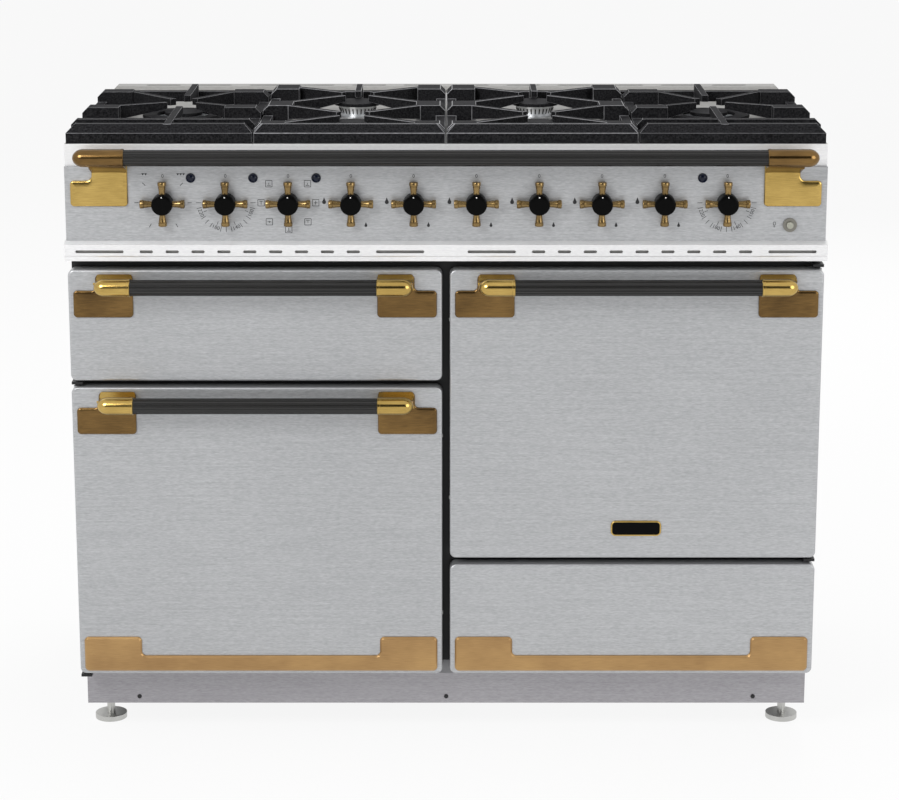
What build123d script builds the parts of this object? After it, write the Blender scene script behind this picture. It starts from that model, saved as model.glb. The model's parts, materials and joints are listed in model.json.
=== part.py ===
"""A dual fuel range cooker, in millimetres.

X runs to the right, Y to the back and Z up. The origin is on the floor, under the middle of the cooker.
"""

import os
from math import cos, hypot, pi, sin

from build123d import *

os.makedirs("parts", exist_ok=True)

# Overall sizes
FACE_W = 1088.0  # over the door fronts, the control panel and the hob
TRIM_OVER = 2.0  # the vent trim's overhang at each side
BODY_IN = 2.0  # from the fronts' side edges to the side panels
DEPTH = 648.0  # from the front of the handles to the back of the rear vent
HANDLE_REACH = 48.0  # from the door faces to the front of the handles
HOB_Z = 905.0  # hob edge above the floor

# Heights of the front, from the bottom up
DOOR_Z0 = 110.0  # lower edge of the left door and the storage drawer
STORAGE_H = 170.0
GRILL_H = 164.0
FRONT_GAP = 10.0  # between one front and the next above it
CENTRE_GAP = 11.0  # between the left and right fronts
TRIM_GAP = 15.0  # from the upper fronts to the vent trim
TRIM_H = 28.0
PANEL_H = 107.0
SKIRT_H = 32.0  # the hob's skirt, above the control panel

# Fronts of folded sheet
DOOR_T = 25.0
DOOR_SKIN = 2.0
DOOR_CORNER_R = 9.0
DOOR_EDGE_R = 3.0
SEAL_GAP = 5.0  # from the doors' backs to the front frame
SLIP = 0.3  # clearance between pieces that slide past each other
RUN = 0.05  # radial clearance of a turning shaft

# Frame, carcass and cavities
FRAME_T = 6.0
STILE_W = 42.0
CENTRE_STILE_W = 100.0
MOUTH_LAP = 40.0  # the doors' overlap on the frame
GRILL_LAP = 31.0  # the grill front's overlap below its mouth
STORAGE_LAP = 15.0  # the storage front's overlap above its mouth
SHEET = 1.5
OVEN_DEPTH = 390.0
GRILL_DEPTH = 350.0
LINER_R = 14.0
BASE_LIP_DOWN = 10.0  # from the lower fronts to the base frame's lip
BASE_LIP_H = 21.0
BASE_Z0 = 62.0
BASE_RAIL_H = 14.0
BASE_RAIL_W = 40.0
BASE_FRONT_T = 12.0
BASE_INSET = 4.0  # from the side panels' outer faces to the base rails
BACK_INSET = 18.0  # from the rear vent's back to the back panel

# Plinth
PLINTH_IN = 2.5  # from the fronts' side edges
PLINTH_Z0 = 45.0
PLINTH_GAP = 2.0  # below the base frame's lip
PLINTH_RECESS = 50.0  # behind the door faces
PLINTH_FLANGE = 12.0
PLINTH_SCREW_IN = 78.0  # from the plinth's ends
PLINTH_SCREW_UP = 10.5
SCREW_HEAD_R = 3.2
SCREW_HEAD_H = 2.0
SCREW_R = 2.0
SCREW_L = 12.0

# Feet and rollers
FOOT_IN = 23.0  # from the base rails' outer faces
FOOT_BACK = 60.0  # behind the plinth's face
FOOT_R = 24.0
FOOT_T = 8.0
STEM_R = 6.0
STEM_L = 110.0
ROLLER_R = 25.0
ROLLER_W = 22.0
ROLLER_IN = 44.0  # from the back panel
AXLE_R = 5.0
FORK_T = 3.0
FORK_W = 26.0
FORK_GAP = 1.0

# Hinges of the oven doors
HINGE_IN = 8.0  # from the door's outer edge to the pin
HINGE_BACK = 14.0  # from the door's face to the pin
PIN_R = 4.0
PIN_L = 13.0
LUG_T = 4.0
LUG_W = 16.0
LUG_GAP = 3.0  # from the lug to the door
BUSH_R = 6.0
BUSH_L = 12.0

# Door liners and seals
LINER_T = 1.5
PLUG_T = 4.0  # raised middle of the door liner
PLUG_INSET = 12.0  # inside the mouth
SEAL_W = 10.0
SEAL_OUT = 4.0  # from the mouth to the seal

# Handles of the fronts
BAR_R = 11.5
CAP_R = 13.0
CAP_L = 52.0
CAP_BORE = 26.0
CAP_ROUND = 9.0
BAR_DOWN = 19.0  # from the front's upper edge to the bar
FLUTES = 18
FLUTE_R = 1.2
PLATE_IN = 7.5  # from the front's side edge to the bracket plate
PLATE_W = 86.0
PLATE_H = 39.5
PLATE_T = 4.0
PLATE_DOWN = 30.0
PLATE_R = 5.0
TAB_W = 54.0
TAB_DOWN = 5.0
ARM_W = 40.0
ARM_H = 16.0

# Hand rail
RAIL_DOWN = 14.0  # from the hob edge to the bar
RAIL_CAP_L = 73.0
RAIL_CAP_IN = 17.0  # from the control panel's ends
RAIL_PLATE_W = 82.0
RAIL_PLATE_H = 37.0
RAIL_PLATE_DOWN = 20.0  # from the control panel's top edge
RAIL_NECK_W = 51.0
RAIL_NECK_UP = 27.0
RAIL_ARM_H = 16.0

# Bottom trims
BRASS_IN = 7.5
BRASS_UP = 5.0
BRASS_H = 24.0
BRASS_END_W = 85.0
BRASS_END_H = 53.0
BRASS_T = 4.0
BRASS_R = 6.5
BRASS_CHAMFER = 2.5

# Control panel
KNOB_COUNT = 10
KNOB_LEFT = 140.0  # from the panel's left end to the first knob
KNOB_RIGHT = 142.5  # from the last knob to the panel's right end
KNOB_UP = 55.0  # above the panel's lower edge
HUB_R = 15.0
HUB_L = 22.0
HUB_EDGE = 2.0
HUB_GAP = 1.0
SPOKE_REACH = 32.0
SPOKE_ROOT_R = 4.6
SPOKE_END_R = 6.2
SPOKE_BAND = 5.5
SPOKE_FLARE = 1.2
TENON_R = 3.0
TENON_L = 4.0
TENON_SLIP = 0.05
SPINDLE_R = 4.0
SPINDLE_L = 52.0
SPINDLE_HOLE_R = 6.0
TAP_W = 26.0
TAP_H = 46.0
TAP_D = 40.0
TAP_NOSE_R = 10.0
GAS_RAIL_R = 8.0
GAS_RAIL_DOWN = 34.0  # below the knobs
FIRST_GAS_KNOB = 3
LAST_GAS_KNOB = 8
SWITCH_W = 44.0
SWITCH_D = 38.0
LAMP_ASIDES = ((0, 40.0), (1, 39.5), (2, 40.0), (9, -35.5))  # a knob, and how far a lamp stands to its right
LAMP_UP = 91.0
LAMP_R = 6.0
LAMP_BARREL_R = 4.8
LAMP_BARREL_L = 24.0
LAMP_T = 2.5
BUTTON_IN = 52.0  # from the panel's right end
BUTTON_UP = 23.0
BUTTON_R = 5.3
BUTTON_TRAVEL = 2.5
BUTTON_PROUD = 4.0
BUTTON_L = 16.0
BEZEL_R = 10.0
BEZEL_T = 3.0
BARREL_R = 7.5
BARREL_L = 30.0
HOLE_SLIP = 0.2  # radial clearance of a fixed barrel in its hole

# Vent trim
TRIM_OUT = 12.0  # in front of the door faces
TRIM_WALL = 2.0
TRIM_LIP_H = 8.0
TRIM_LIP_IN = 2.0
TRIM_SLOPE_H = 4.0
SLOT_Z = 14.0  # above the trim's lower edge
SLOT_H = 4.3
SLOT_LONG = 69.0
SLOT_SHORT = 19.0
SLOT_FIRST_X = 65.5
SLOT_SHORT_X = 132.5
SLOT_PITCH = 37.0
SLOT_LAST_IN = 50.5  # from the trim's end to the last slot

# Hob, rear vent and burners
HOB_SETBACK = 6.0  # behind the door faces
HOB_RIM = 6.0
HOB_WELL = 12.0
HOB_WALL = 2.0
VENT_D = 44.0
VENT_UP = 9.0  # above the hob edge
VENT_CHAMFER = 5.0
VENT_SLOT_L = 56.0
VENT_SLOT_W = 8.0
VENT_SLOT_PITCH = 84.0
WOK_IN = 143.5  # from the pan supports' outer edge to the wok burner
WOK_BACK = 254.0  # from the hob's front edge
PAIR_FRONT_BACK = 120.0
PAIR_BACK_BACK = 337.0
WOK_R = 62.0
WOK_RING_IN = 40.0
WOK_RING_H = 15.0
WOK_MIDDLE_R = 26.0
WOK_MIDDLE_H = 18.0
WOK_BASE_H = 6.0
WOK_CAP_R = 28.5
CAP_T = 5.0
CROWN_R = 25.0
CROWN_TOP_R = 30.0
CROWN_H = 16.0
CROWN_BASE_R = 36.0
CROWN_BASE_H = 6.0
FRONT_CAP_R = 30.0
BACK_CAP_R = 36.0
THROAT_R = 18.0
THROAT_L = 26.0
THROAT_SLIP = 1.0

# Pan supports
GRATE_IN = 2.5  # from the hob's side edges
GRATE_GAP = 2.0
GRATE_SETBACK = 2.0  # behind the hob's front edge
GRATE_WOK_W = 265.5
GRATE_L = 453.0
GRATE_H = 27.0
GRATE_CHAMFER = 12.0
GRATE_BAR = 22.0
GRATE_REAR_H = 16.0
GRATE_RAIL_W = 14.0
GRATE_RAIL_H = 11.0
GRATE_FOOT = 12.0
WOK_LUG_IN = 54.0
WOK_LUG_L = 34.0
WOK_LUG_BACKS = (-42.0, 133.0)  # from the burner to each lug's rear end
WOK_CROSS_BACK = 35.0  # from the front bar to the cross bar behind it
WOK_CROSS_W = 12.0
PAIR_LUG_IN = 44.0
PAIR_LUG_L = 52.0
PAIR_FRONT_LUG_L = 30.0
LUG_CHAMFER = 8.0
FINGER_T = 10.0
FINGER_ROOT_H = 22.0
FINGER_TIP_H = 10.0
FINGER_TIP_R = 28.0  # from the burner's middle to the finger tips
WOK_FINGER_TIP_R = 60.0  # the same, for the straight front and rear fingers

# Oven fittings
SHELF_T = 5.0
SHELF_WIRES = 14
SHELF_IN = 6.0  # from the liner's side wall
SHELF_FRONT = 26.0
SHELF_BACK = 62.0
LEFT_SHELF_UP = 150.0
RIGHT_SHELF_UP = 150.0
RACK_T = 5.0
RACK_RAIL_PITCH = 60.0
RACK_RAILS = 4
RACK_LOW = 85.0
RACK_W = 14.0
FAN_R = 75.0
FAN_T = 14.0
FAN_BLADES = 8
FAN_BLADE_T = 1.5
FAN_HUB_R = 14.0
FAN_BACK = 6.0  # from the liner's back wall to the fan
FAN_SHAFT_R = 4.0
FAN_SHAFT_L = 34.0
FAN_HOLE_R = 7.0
MOTOR_W = 84.0
MOTOR_D = 46.0
COVER_W = 260.0
COVER_D = 30.0
COVER_T = 1.2
COVER_SLOT_W = 8.0
COVER_SLOT_L = 70.0
COVER_SLOTS = 9
COVER_SLOT_PITCH = 20.0
RING_R = 95.0
RING_TUBE_R = 3.2
RING_POST_R = 2.6
RING_BACK = 13.0
RING_POST_X = 20.0
GRILL_TUBE_R = 4.0
GRILL_BARS = 6
GRILL_BAR_PITCH = 62.0
GRILL_BAR_L = 270.0
GRILL_BAR_DOWN = 16.0
GRILL_BAR_FRONT = 30.0
GRILL_BEND_R = 28.0

# Grill carriage and storage drawer
RUNNER_T = 9.0
RUNNER_H = 8.0
RUNNER_UP = 2.0  # above the liner's rounded corner
CARRIAGE_RAIL = 12.0
CARRIAGE_T = 4.0
PAN_H = 34.0
PAN_WALL = 1.5
PAN_IN = 20.0
PAN_BACK = 40.0
PAN_FLOOR_UP = 2.0
TRIVET_T = 4.0
TRIVET_WIRES = 12
STORAGE_BOX_L = 430.0
STORAGE_BOX_H = 112.0
STORAGE_BOX_UP = 8.0
STORAGE_WALL = 1.5
STORAGE_RUNNER_W = 16.0
STORAGE_RUNNER_H = 20.0
STORAGE_RUNNER_UP = 29.0
STORAGE_RUNNER_SHOW = 8.0  # how far a runner stands inside the mouth
STORAGE_FLANGE_T = 2.0
STORAGE_FLANGE_CLEAR = 0.5

# Connections on the back
BOX_IN = 142.0  # from the side panel to the terminal box's middle
BOX_Z = 190.0
BOX_W = 100.0
BOX_H = 80.0
BOX_WALL = 2.5
GLAND_R = 8.5
GLAND_BORE_R = 6.5
GLAND_L = 16.0
INLET_IN = 72.0
INLET_Z = 700.0
INLET_R = 10.5
INLET_FLANGE_R = 16.0
INLET_FLANGE_T = 4.0

# Places worked out from the sizes above
BACK_Y = DEPTH / 2
FACE_Y = -DEPTH / 2 + HANDLE_REACH
BAR_Y = -DEPTH / 2 + CAP_R
DOOR_BACK_Y = FACE_Y + DOOR_T
FRONT_IN_Y = FACE_Y + DOOR_SKIN
FRAME_Y = DOOR_BACK_Y + SEAL_GAP
LINER_Y = FRAME_Y + FRAME_T
SKIRT_Z0 = HOB_Z - SKIRT_H
PANEL_Z0 = SKIRT_Z0 - PANEL_H
TRIM_Z0 = PANEL_Z0 - TRIM_H
FRONT_TOP = TRIM_Z0 - TRIM_GAP
KNOB_Z = PANEL_Z0 + KNOB_UP
RAIL_Z = HOB_Z - RAIL_DOWN
WELL_Z = HOB_Z - HOB_WELL
HOB_Y0 = FACE_Y + HOB_SETBACK
HOB_Y1 = BACK_Y - VENT_D
FACE_X = FACE_W / 2
BODY_X = FACE_X - BODY_IN
TRIM_X = FACE_X + TRIM_OVER
PANEL_IN_Y = FACE_Y + SHEET
BACK_PANEL_Y = BACK_Y - BACK_INSET
PLINTH_Y = FACE_Y + PLINTH_RECESS
BASE_X = BODY_X - BASE_INSET
BASE_LIP_Z0 = DOOR_Z0 - BASE_LIP_DOWN
BASE_LIP_TOP = BASE_LIP_Z0 + BASE_LIP_H
PLINTH_X = FACE_X - PLINTH_IN
PLINTH_TOP = BASE_LIP_Z0 - PLINTH_GAP
PLINTH_SCREW_XS = (PLINTH_SCREW_IN - PLINTH_X, 0, PLINTH_X - PLINTH_SCREW_IN)
FOOT_X = BASE_X - FOOT_IN
FOOT_Y = PLINTH_Y + FOOT_BACK
ROLLER_Y = BACK_PANEL_Y - ROLLER_IN
RAIL_CAP_X = FACE_X - RAIL_CAP_IN

LEFT_X = (-FACE_X, -CENTRE_GAP / 2)
RIGHT_X = (CENTRE_GAP / 2, FACE_X)
STORAGE_Z = (DOOR_Z0, DOOR_Z0 + STORAGE_H)
RIGHT_Z = (STORAGE_Z[1] + FRONT_GAP, FRONT_TOP)
GRILL_Z = (FRONT_TOP - GRILL_H, FRONT_TOP)
LEFT_Z = (DOOR_Z0, GRILL_Z[0] - FRONT_GAP)

LEFT_MOUTH_X = (-BODY_X + STILE_W, -CENTRE_STILE_W / 2)
RIGHT_MOUTH_X = (CENTRE_STILE_W / 2, BODY_X - STILE_W)
LEFT_MOUTH_Z = (LEFT_Z[0] + MOUTH_LAP, LEFT_Z[1] - MOUTH_LAP)
RIGHT_MOUTH_Z = (RIGHT_Z[0] + MOUTH_LAP, RIGHT_Z[1] - MOUTH_LAP)
GRILL_MOUTH_Z = (GRILL_Z[0] + GRILL_LAP, FRONT_TOP - MOUTH_LAP)
STORAGE_MOUTH_Z = (BASE_LIP_TOP, STORAGE_Z[1] - STORAGE_LAP)
MOUTH_TOP = FRONT_TOP - MOUTH_LAP

KNOB_PITCH = (FACE_W - KNOB_LEFT - KNOB_RIGHT) / (KNOB_COUNT - 1)
KNOB_XS = [KNOB_LEFT - FACE_X + n * KNOB_PITCH for n in range(KNOB_COUNT)]
LAMP_XS = [KNOB_XS[n] + aside for n, aside in LAMP_ASIDES]
BUTTON_X = FACE_X - BUTTON_IN
GAS_XS = KNOB_XS[FIRST_GAS_KNOB : LAST_GAS_KNOB + 1]
OVEN_SWITCH_XS = KNOB_XS[:FIRST_GAS_KNOB] + KNOB_XS[LAST_GAS_KNOB + 1 :]
OVENS = ((LEFT_MOUTH_X, LEFT_MOUTH_Z), (RIGHT_MOUTH_X, RIGHT_MOUTH_Z))

GRATE_OUT = FACE_X - GRATE_IN
GRATE_SPLIT = GRATE_OUT - GRATE_WOK_W
WOK_X = GRATE_OUT - WOK_IN
WOK_Y = HOB_Y0 + WOK_BACK
PAIR_X = (GRATE_SPLIT - GRATE_GAP) / 2
PAIR_FRONT_Y = HOB_Y0 + PAIR_FRONT_BACK
PAIR_BACK_Y = HOB_Y0 + PAIR_BACK_BACK

FORWARD = (0, -1, 0)
BACKWARD = (0, 1, 0)
UP = (0, 0, 1)
DOWN = (0, 0, -1)
RIGHTWARD = (1, 0, 0)


# Helpers that every sub-part uses
def middle(span):
    return (span[0] + span[1]) / 2


def length(span):
    return span[1] - span[0]


def grown(span, by):
    return (span[0] - by, span[1] + by)


def block(xs, ys, zs, mode=Mode.ADD):
    """A box from its three spans."""
    with Locations((middle(xs), middle(ys), middle(zs))):
        Box(length(xs), length(ys), length(zs), mode=mode)


def rod(start, direction, radius, reach, mode=Mode.ADD):
    """A cylinder that leaves a point in a direction."""
    with Locations(Plane(origin=start, z_dir=direction)):
        Cylinder(radius, reach, align=(Align.CENTER, Align.CENTER, Align.MIN), mode=mode)


def front_plane(x, y, z):
    """A plane that faces the front, with its own X to the right and its own Y up."""
    return Plane(origin=(x, y, z), x_dir=RIGHTWARD, z_dir=FORWARD)


def save(built, name):
    built.part.label = name
    export_step(built.part, f"parts/{name}.step")


# Base frame: two side rails, a rear rail, a stepped front rail, and the forks of the rear rollers
with BuildPart() as base_frame:
    rail_z = (BASE_Z0, BASE_Z0 + BASE_RAIL_H)
    front_y = (PLINTH_Y + SHEET, PLINTH_Y + SHEET + BASE_FRONT_T)
    rear_y = (BACK_PANEL_Y - SHEET - BASE_RAIL_W, BACK_PANEL_Y - SHEET)
    block((-BASE_X, BASE_X), front_y, (PLINTH_Z0 + SHEET, BASE_LIP_TOP))
    block((-BASE_X, BASE_X), (FRAME_Y, front_y[1]), (BASE_LIP_Z0, BASE_LIP_TOP))
    for screw_x in PLINTH_SCREW_XS:
        screw_from = (screw_x, front_y[0], PLINTH_Z0 + PLINTH_SCREW_UP)
        rod(screw_from, BACKWARD, SCREW_R + RUN, BASE_FRONT_T, mode=Mode.SUBTRACT)
    block((-BASE_X, BASE_X), rear_y, rail_z)
    for side in (-1, 1):
        rail_x = sorted((side * BASE_X, side * (BASE_X - BASE_RAIL_W)))
        block(rail_x, (front_y[1], rear_y[0]), rail_z)
        rod((side * FOOT_X, FOOT_Y, BASE_Z0), UP, STEM_R + RUN, BASE_RAIL_H, mode=Mode.SUBTRACT)
        cheek_in = ROLLER_W / 2 + FORK_GAP
        for cheek in (-1, 1):
            near_x = side * FOOT_X + cheek * cheek_in
            cheek_x = sorted((near_x, near_x + cheek * FORK_T))
            block(cheek_x, grown((ROLLER_Y, ROLLER_Y), FORK_W / 2), (ROLLER_R - FORK_W / 2, BASE_Z0))
        axle_from = (side * FOOT_X - cheek_in, ROLLER_Y, ROLLER_R)
        rod(axle_from, RIGHTWARD, AXLE_R, 2 * cheek_in)
save(base_frame, "base_frame")

with BuildPart() as rear_rollers:
    for side in (-1, 1):
        roller_from = (side * FOOT_X - ROLLER_W / 2, ROLLER_Y, ROLLER_R)
        rod(roller_from, RIGHTWARD, ROLLER_R, ROLLER_W)
        rod(roller_from, RIGHTWARD, AXLE_R + RUN, ROLLER_W, mode=Mode.SUBTRACT)
save(rear_rollers, "rear_rollers")

with BuildPart() as levelling_feet:
    for side in (-1, 1):
        rod((side * FOOT_X, FOOT_Y, 0), UP, FOOT_R, FOOT_T)
        rod((side * FOOT_X, FOOT_Y, FOOT_T), UP, STEM_R, STEM_L)
save(levelling_feet, "levelling_feet")

# Outer panels: the two sides and the back
with BuildPart() as outer_panels:
    for side in (-1, 1):
        panel_x = sorted((side * BODY_X, side * (BODY_X - SHEET)))
        block(panel_x, (FRAME_Y, BACK_PANEL_Y), (BASE_LIP_Z0, SKIRT_Z0))
        block(panel_x, (FRAME_Y, HOB_Y1 - HOB_WALL), (SKIRT_Z0, WELL_Z - HOB_WALL))
    inner_x = BODY_X - SHEET - SLIP
    block((-inner_x, inner_x), (BACK_PANEL_Y - SHEET, BACK_PANEL_Y), (BASE_Z0, SKIRT_Z0))
save(outer_panels, "outer_panels")

# Front frame: stiles and rails around the four mouths, and the lugs and pins that the oven doors turn on
with BuildPart() as front_frame:
    frame_y = (FRAME_Y, LINER_Y)
    stile_z = (BASE_LIP_TOP, MOUTH_TOP)
    frame_x = BODY_X - SHEET
    block((-frame_x, LEFT_MOUTH_X[0]), frame_y, stile_z)
    block((RIGHT_MOUTH_X[1], frame_x), frame_y, stile_z)
    block((LEFT_MOUTH_X[1], RIGHT_MOUTH_X[0]), frame_y, stile_z)
    block((-frame_x, frame_x), frame_y, (MOUTH_TOP, PANEL_Z0))
    block(LEFT_MOUTH_X, frame_y, (BASE_LIP_TOP, LEFT_MOUTH_Z[0]))
    block(LEFT_MOUTH_X, frame_y, (LEFT_MOUTH_Z[1], GRILL_MOUTH_Z[0]))
    block(RIGHT_MOUTH_X, frame_y, (STORAGE_MOUTH_Z[1], RIGHT_MOUTH_Z[0]))
    pin_y = FACE_Y + HINGE_BACK
    for side, door_z in ((-1, LEFT_Z), (1, RIGHT_Z)):
        pin_x = side * (FACE_X - HINGE_IN)
        lug_x = (pin_x - LUG_W / 2, pin_x + LUG_W / 2)
        lug_y = (pin_y - LUG_W / 2, FRAME_Y)
        for edge_z, inward in ((door_z[0], 1), (door_z[1], -1)):
            near_z = edge_z - inward * LUG_GAP
            lug_z = sorted((near_z, near_z - inward * LUG_T))
            block(lug_x, lug_y, lug_z)
            rod((pin_x, pin_y, near_z), (0, 0, inward), PIN_R, PIN_L)
save(front_frame, "front_frame")

# Plinth: a folded strip under the doors, held by three screws
with BuildPart() as plinth:
    plinth_z = (PLINTH_Z0, PLINTH_TOP)
    block((-PLINTH_X, PLINTH_X), (PLINTH_Y, PLINTH_Y + SHEET), plinth_z)
    block((-PLINTH_X, PLINTH_X), (PLINTH_Y, PLINTH_Y + PLINTH_FLANGE), (PLINTH_Z0, PLINTH_Z0 + SHEET))
    for side in (-1, 1):
        flange_x = sorted((side * PLINTH_X, side * (PLINTH_X - SHEET)))
        block(flange_x, (PLINTH_Y, PLINTH_Y + PLINTH_FLANGE), plinth_z)
    for screw_x in PLINTH_SCREW_XS:
        screw_from = (screw_x, PLINTH_Y, PLINTH_Z0 + PLINTH_SCREW_UP)
        rod(screw_from, BACKWARD, SCREW_R + HOLE_SLIP, SHEET, mode=Mode.SUBTRACT)
save(plinth, "plinth")

with BuildPart() as fixing_screws:
    for screw_x in PLINTH_SCREW_XS:
        screw_from = (screw_x, PLINTH_Y, PLINTH_Z0 + PLINTH_SCREW_UP)
        rod(screw_from, BACKWARD, SCREW_R, SCREW_L)
        rod(screw_from, FORWARD, SCREW_HEAD_R, SCREW_HEAD_H)
    fillet(edges().group_by(Axis.Y)[0], SCREW_HEAD_H / 2)
save(fixing_screws, "fixing_screws")

# Oven and grill liners: enamelled boxes, open at the front, with a shaft hole where a fan sits
OVEN_BACK_Y = LINER_Y + OVEN_DEPTH
GRILL_BACK_Y = LINER_Y + GRILL_DEPTH
with BuildPart() as oven_liners:
    for mouth_x, mouth_z, back_y in (
        (*OVENS[0], OVEN_BACK_Y),
        (*OVENS[1], OVEN_BACK_Y),
        (LEFT_MOUTH_X, GRILL_MOUTH_Z, GRILL_BACK_Y),
    ):
        mouth_plane = front_plane(middle(mouth_x), LINER_Y, middle(mouth_z))
        with BuildSketch(mouth_plane) as outer:
            RectangleRounded(length(mouth_x) + 2 * SHEET, length(mouth_z) + 2 * SHEET, LINER_R + SHEET)
        with BuildSketch(mouth_plane) as inner:
            RectangleRounded(length(mouth_x), length(mouth_z), LINER_R)
        extrude(outer.sketch, amount=-(back_y + SHEET - LINER_Y))
        extrude(inner.sketch, amount=-(back_y - LINER_Y), mode=Mode.SUBTRACT)
    for mouth_x, mouth_z in OVENS:
        hole_from = (middle(mouth_x), OVEN_BACK_Y, middle(mouth_z))
        rod(hole_from, BACKWARD, FAN_HOLE_R, SHEET, mode=Mode.SUBTRACT)
save(oven_liners, "oven_liners")

with BuildPart() as oven_seals:
    for mouth_x, mouth_z in OVENS:
        seal_y = (DOOR_BACK_Y + SLIP, FRAME_Y)
        outer_by = SEAL_OUT + SEAL_W
        block(grown(mouth_x, outer_by), seal_y, grown(mouth_z, outer_by))
        block(grown(mouth_x, SEAL_OUT), seal_y, grown(mouth_z, SEAL_OUT), mode=Mode.SUBTRACT)
save(oven_seals, "oven_seals")

# Wire racks: a ladder on each oven wall, and one shelf that stands on its rails in each oven
with BuildPart() as oven_racks:
    for (mouth_x, mouth_z), shelf_up in zip(OVENS, (LEFT_SHELF_UP, RIGHT_SHELF_UP)):
        shelf_y = (LINER_Y + SHELF_FRONT, OVEN_BACK_Y - SHELF_BACK)
        shelf_z = mouth_z[0] + shelf_up
        for wall, inward in ((mouth_x[0], 1), (mouth_x[1], -1)):
            rack_x = sorted((wall, wall + inward * RACK_T))
            ledge_x = sorted((wall, wall + inward * RACK_W))
            rail_tops = [shelf_z + (n - 1) * RACK_RAIL_PITCH for n in range(RACK_RAILS)]
            for rail_top in rail_tops:
                block(ledge_x, shelf_y, (rail_top - RACK_T, rail_top))
            for post_y in (shelf_y[0] + RACK_LOW, shelf_y[1] - RACK_LOW):
                block(rack_x, (post_y, post_y + RACK_T), (rail_tops[0] - RACK_T, rail_tops[-1]))
    for (mouth_x, mouth_z), shelf_up in zip(OVENS, (LEFT_SHELF_UP, RIGHT_SHELF_UP)):
        shelf_x = grown(mouth_x, -SHELF_IN)
        shelf_z = mouth_z[0] + shelf_up + SLIP
        wire_z = (shelf_z, shelf_z + SHELF_T)
        for rim_y in (shelf_y[0], shelf_y[1] - SHELF_T):
            block(shelf_x, (rim_y, rim_y + SHELF_T), wire_z)
        wire_pitch = (length(shelf_x) - SHELF_T) / (SHELF_WIRES - 1)
        for n in range(SHELF_WIRES):
            wire_x = shelf_x[0] + n * wire_pitch
            block((wire_x, wire_x + SHELF_T), shelf_y, wire_z)
save(oven_racks, "oven_racks")


# Fans: a bladed wheel on a shaft, a motor behind the oven's back wall, and a slotted cover in front
def make_fan(mouth_x, mouth_z):
    fan_y = OVEN_BACK_Y - FAN_BACK
    centre = (middle(mouth_x), fan_y, middle(mouth_z))
    rod(centre, FORWARD, FAN_HUB_R, FAN_T)
    rod(centre, FORWARD, FAN_R, FAN_BLADE_T)
    rod(centre, BACKWARD, FAN_SHAFT_R, FAN_BACK + FAN_SHAFT_L)
    with BuildSketch(front_plane(*centre)) as blades:
        with PolarLocations((FAN_R + FAN_HUB_R) / 2, FAN_BLADES):
            Rectangle(FAN_R - FAN_HUB_R + FAN_BLADE_T, FAN_BLADE_T)
    extrude(blades.sketch, amount=FAN_T)


with BuildPart() as left_fan:
    make_fan(*OVENS[0])
save(left_fan, "left_fan")

with BuildPart() as right_fan:
    make_fan(*OVENS[1])
save(right_fan, "right_fan")

with BuildPart() as fan_motors:
    for mouth_x, mouth_z in OVENS:
        wall_y = OVEN_BACK_Y + SHEET
        motor_x = grown((middle(mouth_x), middle(mouth_x)), MOTOR_W / 2)
        motor_z = grown((middle(mouth_z), middle(mouth_z)), MOTOR_W / 2)
        block(motor_x, (wall_y, wall_y + MOTOR_D), motor_z)
        shaft_from = (middle(mouth_x), wall_y, middle(mouth_z))
        rod(shaft_from, BACKWARD, FAN_SHAFT_R + RUN, FAN_SHAFT_L, mode=Mode.SUBTRACT)
save(fan_motors, "fan_motors")

with BuildPart() as fan_covers:
    for mouth_x, mouth_z in OVENS:
        cover_x = grown((middle(mouth_x), middle(mouth_x)), COVER_W / 2)
        cover_z = grown((middle(mouth_z), middle(mouth_z)), COVER_W / 2)
        cover_y = (OVEN_BACK_Y - COVER_D, OVEN_BACK_Y)
        block(cover_x, cover_y, cover_z)
        hollow_y = (cover_y[0] + COVER_T, cover_y[1])
        block(grown(cover_x, -COVER_T), hollow_y, grown(cover_z, -COVER_T), mode=Mode.SUBTRACT)
        with BuildSketch(front_plane(middle(mouth_x), cover_y[0], middle(mouth_z))) as slots:
            with GridLocations(COVER_SLOT_PITCH, COVER_SLOT_L + COVER_SLOT_PITCH, COVER_SLOTS, 2):
                SlotOverall(COVER_SLOT_L, COVER_SLOT_W, rotation=90)
        extrude(slots.sketch, amount=-COVER_T, mode=Mode.SUBTRACT)
save(fan_covers, "fan_covers")

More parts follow.
